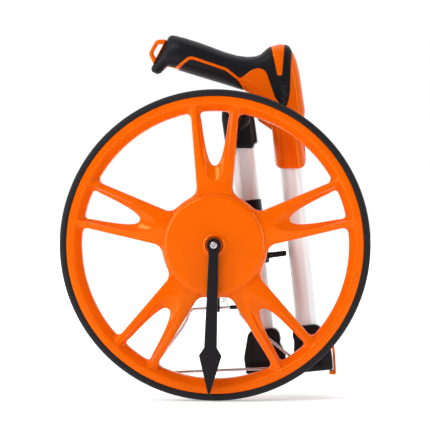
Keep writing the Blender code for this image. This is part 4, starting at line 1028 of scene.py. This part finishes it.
def build_lower_fold():
    tube_half = [
        beside_pivot(45.2, 2.6, TUBE_SLOPE, -1), beside_pivot(7.2, 2.6, TUBE_SLOPE, -1),
        beside_pivot(5.6, 8.0, TUBE_SLOPE, -1), (72.3, 40.7), (68.3, 50.7), (65.5, 55.4), (66.6, 59.4),
        (64.6, 67.0), (61.6, 70.1), (58.0, 71.6), (37.0, 69.2), (32.2, 64.8), (28.1, 39.8),
    ]
    handle_half = [
        beside_pivot(7.2, -2.3, HANDLE_SLOPE, 1), beside_pivot(45.6, -2.3, HANDLE_SLOPE, 1),
        (120.9, 38.0), (119.2, 50.4), (110.6, 53.4), (109.8, 61.0), (110.8, 68.4), (107.0, 73.4), (103.0, 75.6),
        (84.0, 73.8), (79.4, 69.6), (79.0, 63.0), (80.6, 58.0), (80.2, 45.0), (79.6, 36.0),
    ]
    tube_bore = rod_stock(on_tube(38.0), on_tube(90.0), INNER_R + 0.1)
    handle_bore = rod_stock(on_handle(38.0), on_handle(90.0), INNER_R + 0.1)
    catch_notch = block_stock(20, 35.6, TUBE_Y - 9, TUBE_Y + 9, 10, 31.5)
    tube_recess = recessed((48.5, 47.0), 12.5, 13.5)
    handle_recess = recessed((98.0, 48.0), 11.0, 15.0)
    joint_half("tube_side_joint", tube_half, tube_recess, "fold_joint_tube_half", tube_bore, catch_notch)
    joint_half("handle_side_joint", handle_half, handle_recess, "fold_joint_handle_half", handle_bore)
    knuckle = 7.0
    for index, (y0, y1, node) in enumerate((
        (TUBE_Y - 15.9, TUBE_Y - 6.0, "fold_joint_tube_half"),
        (TUBE_Y + 6.0, TUBE_Y + 15.9, "fold_joint_tube_half"),
        (TUBE_Y - 5.7, TUBE_Y + 5.7, "fold_joint_handle_half"),
    )):
        profile = [(2.9, y0), (knuckle - 0.6, y0), (knuckle, y0 + 0.6)]
        profile += [(knuckle, y1 - 0.6), (knuckle - 0.6, y1), (2.9, y1)]
        across_y(f"knuckle_{index + 1}", profile, FOLD_LOWER, node, 48)
    pin = [(0, 39.4), (1.9, 39.4), (2.6, 40.0), (2.6, 72.0), (1.9, 72.6), (0, 72.6)]
    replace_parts(across_y("hinge_pin", pin, FOLD_LOWER, "joint_pin", 32, closed=False), "joint_pin")
    pivot = (114.6, 60.5)
    latch = arc(pivot, 3.4, 20, 235, 10) + [
        (117.6, 56.0), (120.2, 51.0), (121.2, 40.0), (121.8, 29.6), (121.2, 27.0), (117.4, 26.7), (117.4, 23.0),
        (123.2, 22.4), (124.5, 24.2), (123.9, 40.0), (122.9, 51.5), (119.6, 60.0),
    ]
    strap = plate("latch_strap", rounded(latch, 0.8, 3), TUBE_Y - 8, TUBE_Y + 8, 0.7, "fold_latch", 1.1)
    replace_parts(strap, "fold_latch")


# ------------------------------------------------------------------ pointer and bail

POINTER_LEAN = math.radians(-1.9)
POINTER_EYE_R = 7.4
POINTER_BLADE = [
    (4.9, 12.0), (6.4, 104.0), (7.6, 106.2), (11.5, 112.4), (0.8, 152.0),
    (-0.8, 152.0), (-11.5, 112.4), (-7.6, 106.2), (-6.4, 104.0), (-4.9, 12.0),
]


def build_pointer():
    lean = POINTER_LEAN

    def leaning(across, down):
        return (
            AXLE[0] + across * math.cos(lean) + down * math.sin(lean),
            AXLE[1] + across * math.sin(lean) - down * math.cos(lean),
        )

    turns = [math.radians(-130 + 260 / 28 * i) for i in range(29)]
    head = [leaning(math.sin(a) * POINTER_EYE_R, -math.cos(a) * POINTER_EYE_R) for a in turns]
    outline = head + [leaning(a, d) for a, d in POINTER_BLADE]

    def crowned(points, front, back):
        x, z = points[:, 0] - AXLE[0], points[:, 1] - AXLE[1]
        across = np.abs(x * math.cos(lean) + z * math.sin(lean))
        down = -z * math.cos(lean) + x * math.sin(lean)
        crown = np.where(down > 9, 0.06 * across, 0.0)
        return front + crown, back

    bore = circle(AXLE, 3.2, 32)
    piece = plate("pointer_blade", outline, -23.6, -17.6, 0.9, "pointer", 1.3, [bore], crowned)
    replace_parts(piece, "pointer")

    def socket(radius, distance, angle):
        """Makes the screw's inner wall six-sided."""
        if radius > 2.2 or distance > -24:
            return radius
        return radius * 0.9 / math.cos((angle + math.pi / 6) % (math.pi / 3) - math.pi / 6)

    bolt = [(0, -25.6), (2.0, -25.6), (2.05, -27.4), (2.45, -27.9), (3.0, -27.8), (3.5, -27.3), (3.7, -26.4)]
    bolt += [(3.7, -23.9), (2.6, -23.9), (2.6, -22.3), (0, -22.3)]
    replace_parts(across_y("pointer_screw", bolt, AXLE, "pointer_bolt", 48, 35.0, False, socket), "pointer_bolt")


BAIL_Y = 20.0


def build_bail():
    bar = [(22.6, 94.5), (0.0, 93.4), (-23.3, 92.3)]
    left = [(-26.5, 90.2), (-28.4, 86.4), (-29.6, 82.0), (-36.0, 71.0), (-62.0, 36.0), (-65.4, 30.5), (-64.0, 26.6)]
    foot = [(-60.0, 25.7), (-39.4, 27.0), (48.7, 30.9), (80.0, 32.4), (85.6, 33.2), (86.6, 36.2)]
    right = [(83.0, 39.6), (74.6, 45.6), (58.3, 58.7), (34.3, 76.6), (28.7, 82.4), (24.8, 87.6), (23.9, 91.6)]
    route = rounded(bar + left + foot + right, 4.0, 5)
    wire = [(x, BAIL_Y, z) for x, z in resampled(route, 3.0)]
    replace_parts(swept("bail_wire", wire, 1.45, "bail", 16, True), "bail")
    a, b = at_depth((14.6, 94.12), BAIL_Y), at_depth((22.6, 94.5), BAIL_Y)
    sleeve = [(1.5, 0), (2.0, 0.0), (2.1, 0.3), (2.1, 7.2), (1.9, 7.7), (1.5, 7.7)]
    turned("bail_sleeve", sleeve, a, b, "bail", 24, finish=BLACK)
    coil_r, turns, steps = 2.6, 8, 20
    top, low = 118.0, 99.5
    x = 9.2
    points = [(4.6, BAIL_Y, top + 0.8), (7.0, BAIL_Y - 0.3, top + 1.0)]
    for i in range(turns * steps + 1):
        a = math.tau * i / steps
        z = top + (low - top) * i / (turns * steps)
        points.append((x + coil_r * math.cos(a), BAIL_Y + coil_r * math.sin(a), z))
    points += [(x + 2.9, BAIL_Y - 0.8, 98.2), (x + 2.8, BAIL_Y - 1.8, 96.9), (x + 2.6, BAIL_Y - 2.4, 95.9)]
    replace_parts(swept("bail_pull_spring", points, 0.4, "bail_spring", 8), "bail_spring")


build_wheel()
build_tyre()
build_grip()
build_tubes()
build_head()
build_collar()
build_lower_fold()
build_pointer()
build_bail()

# ------------------------------------------------------------------ floor, light and camera

FLOOR_GAP = 0.0004
NEAR_GLOW, FAR_GLOW = 0.36, 1.0

bpy.ops.mesh.primitive_plane_add(size=30.0, location=(0, 0, -FLOOR_GAP))
floor = bpy.context.object
floor.name = "floor"
floor_finish, floor_tree, floor_shader = plain("pale_floor", (0.93, 0.93, 0.93), 0.7, specular=0.2)
dust = noise(floor_tree, object_coordinates(floor_tree), 6.0, 4.0)
paleness = ramp(floor_tree, dust, [(0.3, grey(0.93)), (0.7, grey(0.96))])
floor_tree.links.new(paleness, floor_shader.inputs["Base Color"])
floor_shader.inputs["Emission Color"].default_value = (1, 1, 1, 1)
# painted glow: the floor's emission rises from near the part to far behind it, so the floor brightens into the white
# backdrop behind the part and also lights the part from below
behind = floor_tree.nodes.new("ShaderNodeSeparateXYZ")
floor_tree.links.new(object_coordinates(floor_tree), behind.inputs["Vector"])
glow = node_of(floor_tree, "ShaderNodeMapRange", From_Min=0.3, From_Max=2.0, To_Min=NEAR_GLOW, To_Max=FAR_GLOW)
floor_tree.links.new(behind.outputs["Y"], glow.inputs["Value"])
floor_tree.links.new(glow.outputs["Result"], floor_shader.inputs["Emission Strength"])
floor.data.materials.append(floor_finish)

# the room is white to the camera; its light is strongest from behind the part
world = bpy.data.worlds.new("studio")
bpy.context.scene.world = world
world.use_nodes = True
sky_tree = world.node_tree
sky = sky_tree.nodes["Background"]
sky.inputs["Color"].default_value = (1, 1, 1, 1)
seen = sky_tree.nodes.new("ShaderNodeLightPath")
direction = sky_tree.nodes.new("ShaderNodeTexCoord")
axes = sky_tree.nodes.new("ShaderNodeSeparateXYZ")
sky_tree.links.new(direction.outputs["Generated"], axes.inputs["Vector"])
room = node_of(sky_tree, "ShaderNodeMapRange", From_Min=-0.4, From_Max=0.45, To_Min=0.13, To_Max=1.0)
room.interpolation_type = "SMOOTHSTEP"
sky_tree.links.new(axes.outputs["Y"], room.inputs["Value"])
strength = sky_tree.nodes.new("ShaderNodeMath")
strength.operation = "MAXIMUM"
sky_tree.links.new(seen.outputs["Is Camera Ray"], strength.inputs[0])
sky_tree.links.new(room.outputs["Result"], strength.inputs[1])
sky_tree.links.new(strength.outputs["Value"], sky.inputs["Strength"])
bpy.context.scene.view_settings.view_transform = "Standard"


def soft_light(name, position, target, size, power):
    """A rectangular area light aimed at a point, in metres and watts."""
    lamp = bpy.data.lights.new(name, "AREA")
    lamp.shape = "RECTANGLE"
    lamp.size, lamp.size_y = size
    lamp.energy = power
    made = bpy.data.objects.new(name, lamp)
    made.location = position
    made.rotation_euler = (Vector(target) - Vector(position)).to_track_quat("-Z", "Y").to_euler()
    bpy.context.scene.collection.objects.link(made)


MIDDLE = (0, 0, 0.18)
STRIP = (0.16, 1.7)
soft_light("front", (-1.2, -1.75, 2.0), MIDDLE, (0.8, 0.8), 27)
soft_light("left_strip", (-1.75, -0.8, 0.7), MIDDLE, STRIP, 15)
soft_light("right_strip", (1.75, -0.75, 0.6), MIDDLE, STRIP, 9)
soft_light("overhead", (0.0, 0.1, 2.1), (0, 0, 0.0), (1.8, 1.8), 9)

CAMERA_DISTANCE = 2.0
CAMERA_YAW = math.radians(3.0)
TARGET = place(0.07, 0.0, 189.73)
camera_data = bpy.data.cameras.new("camera")
camera_data.sensor_width = 36.0
camera_data.lens = 163.28
camera_data.clip_end = 100
camera = bpy.data.objects.new("camera", camera_data)
camera.location = TARGET + Vector((math.sin(CAMERA_YAW), -math.cos(CAMERA_YAW), 0)) * CAMERA_DISTANCE
camera.rotation_euler = (TARGET - camera.location).to_track_quat("-Z", "Y").to_euler()
bpy.context.scene.collection.objects.link(camera)
bpy.context.scene.camera = camera
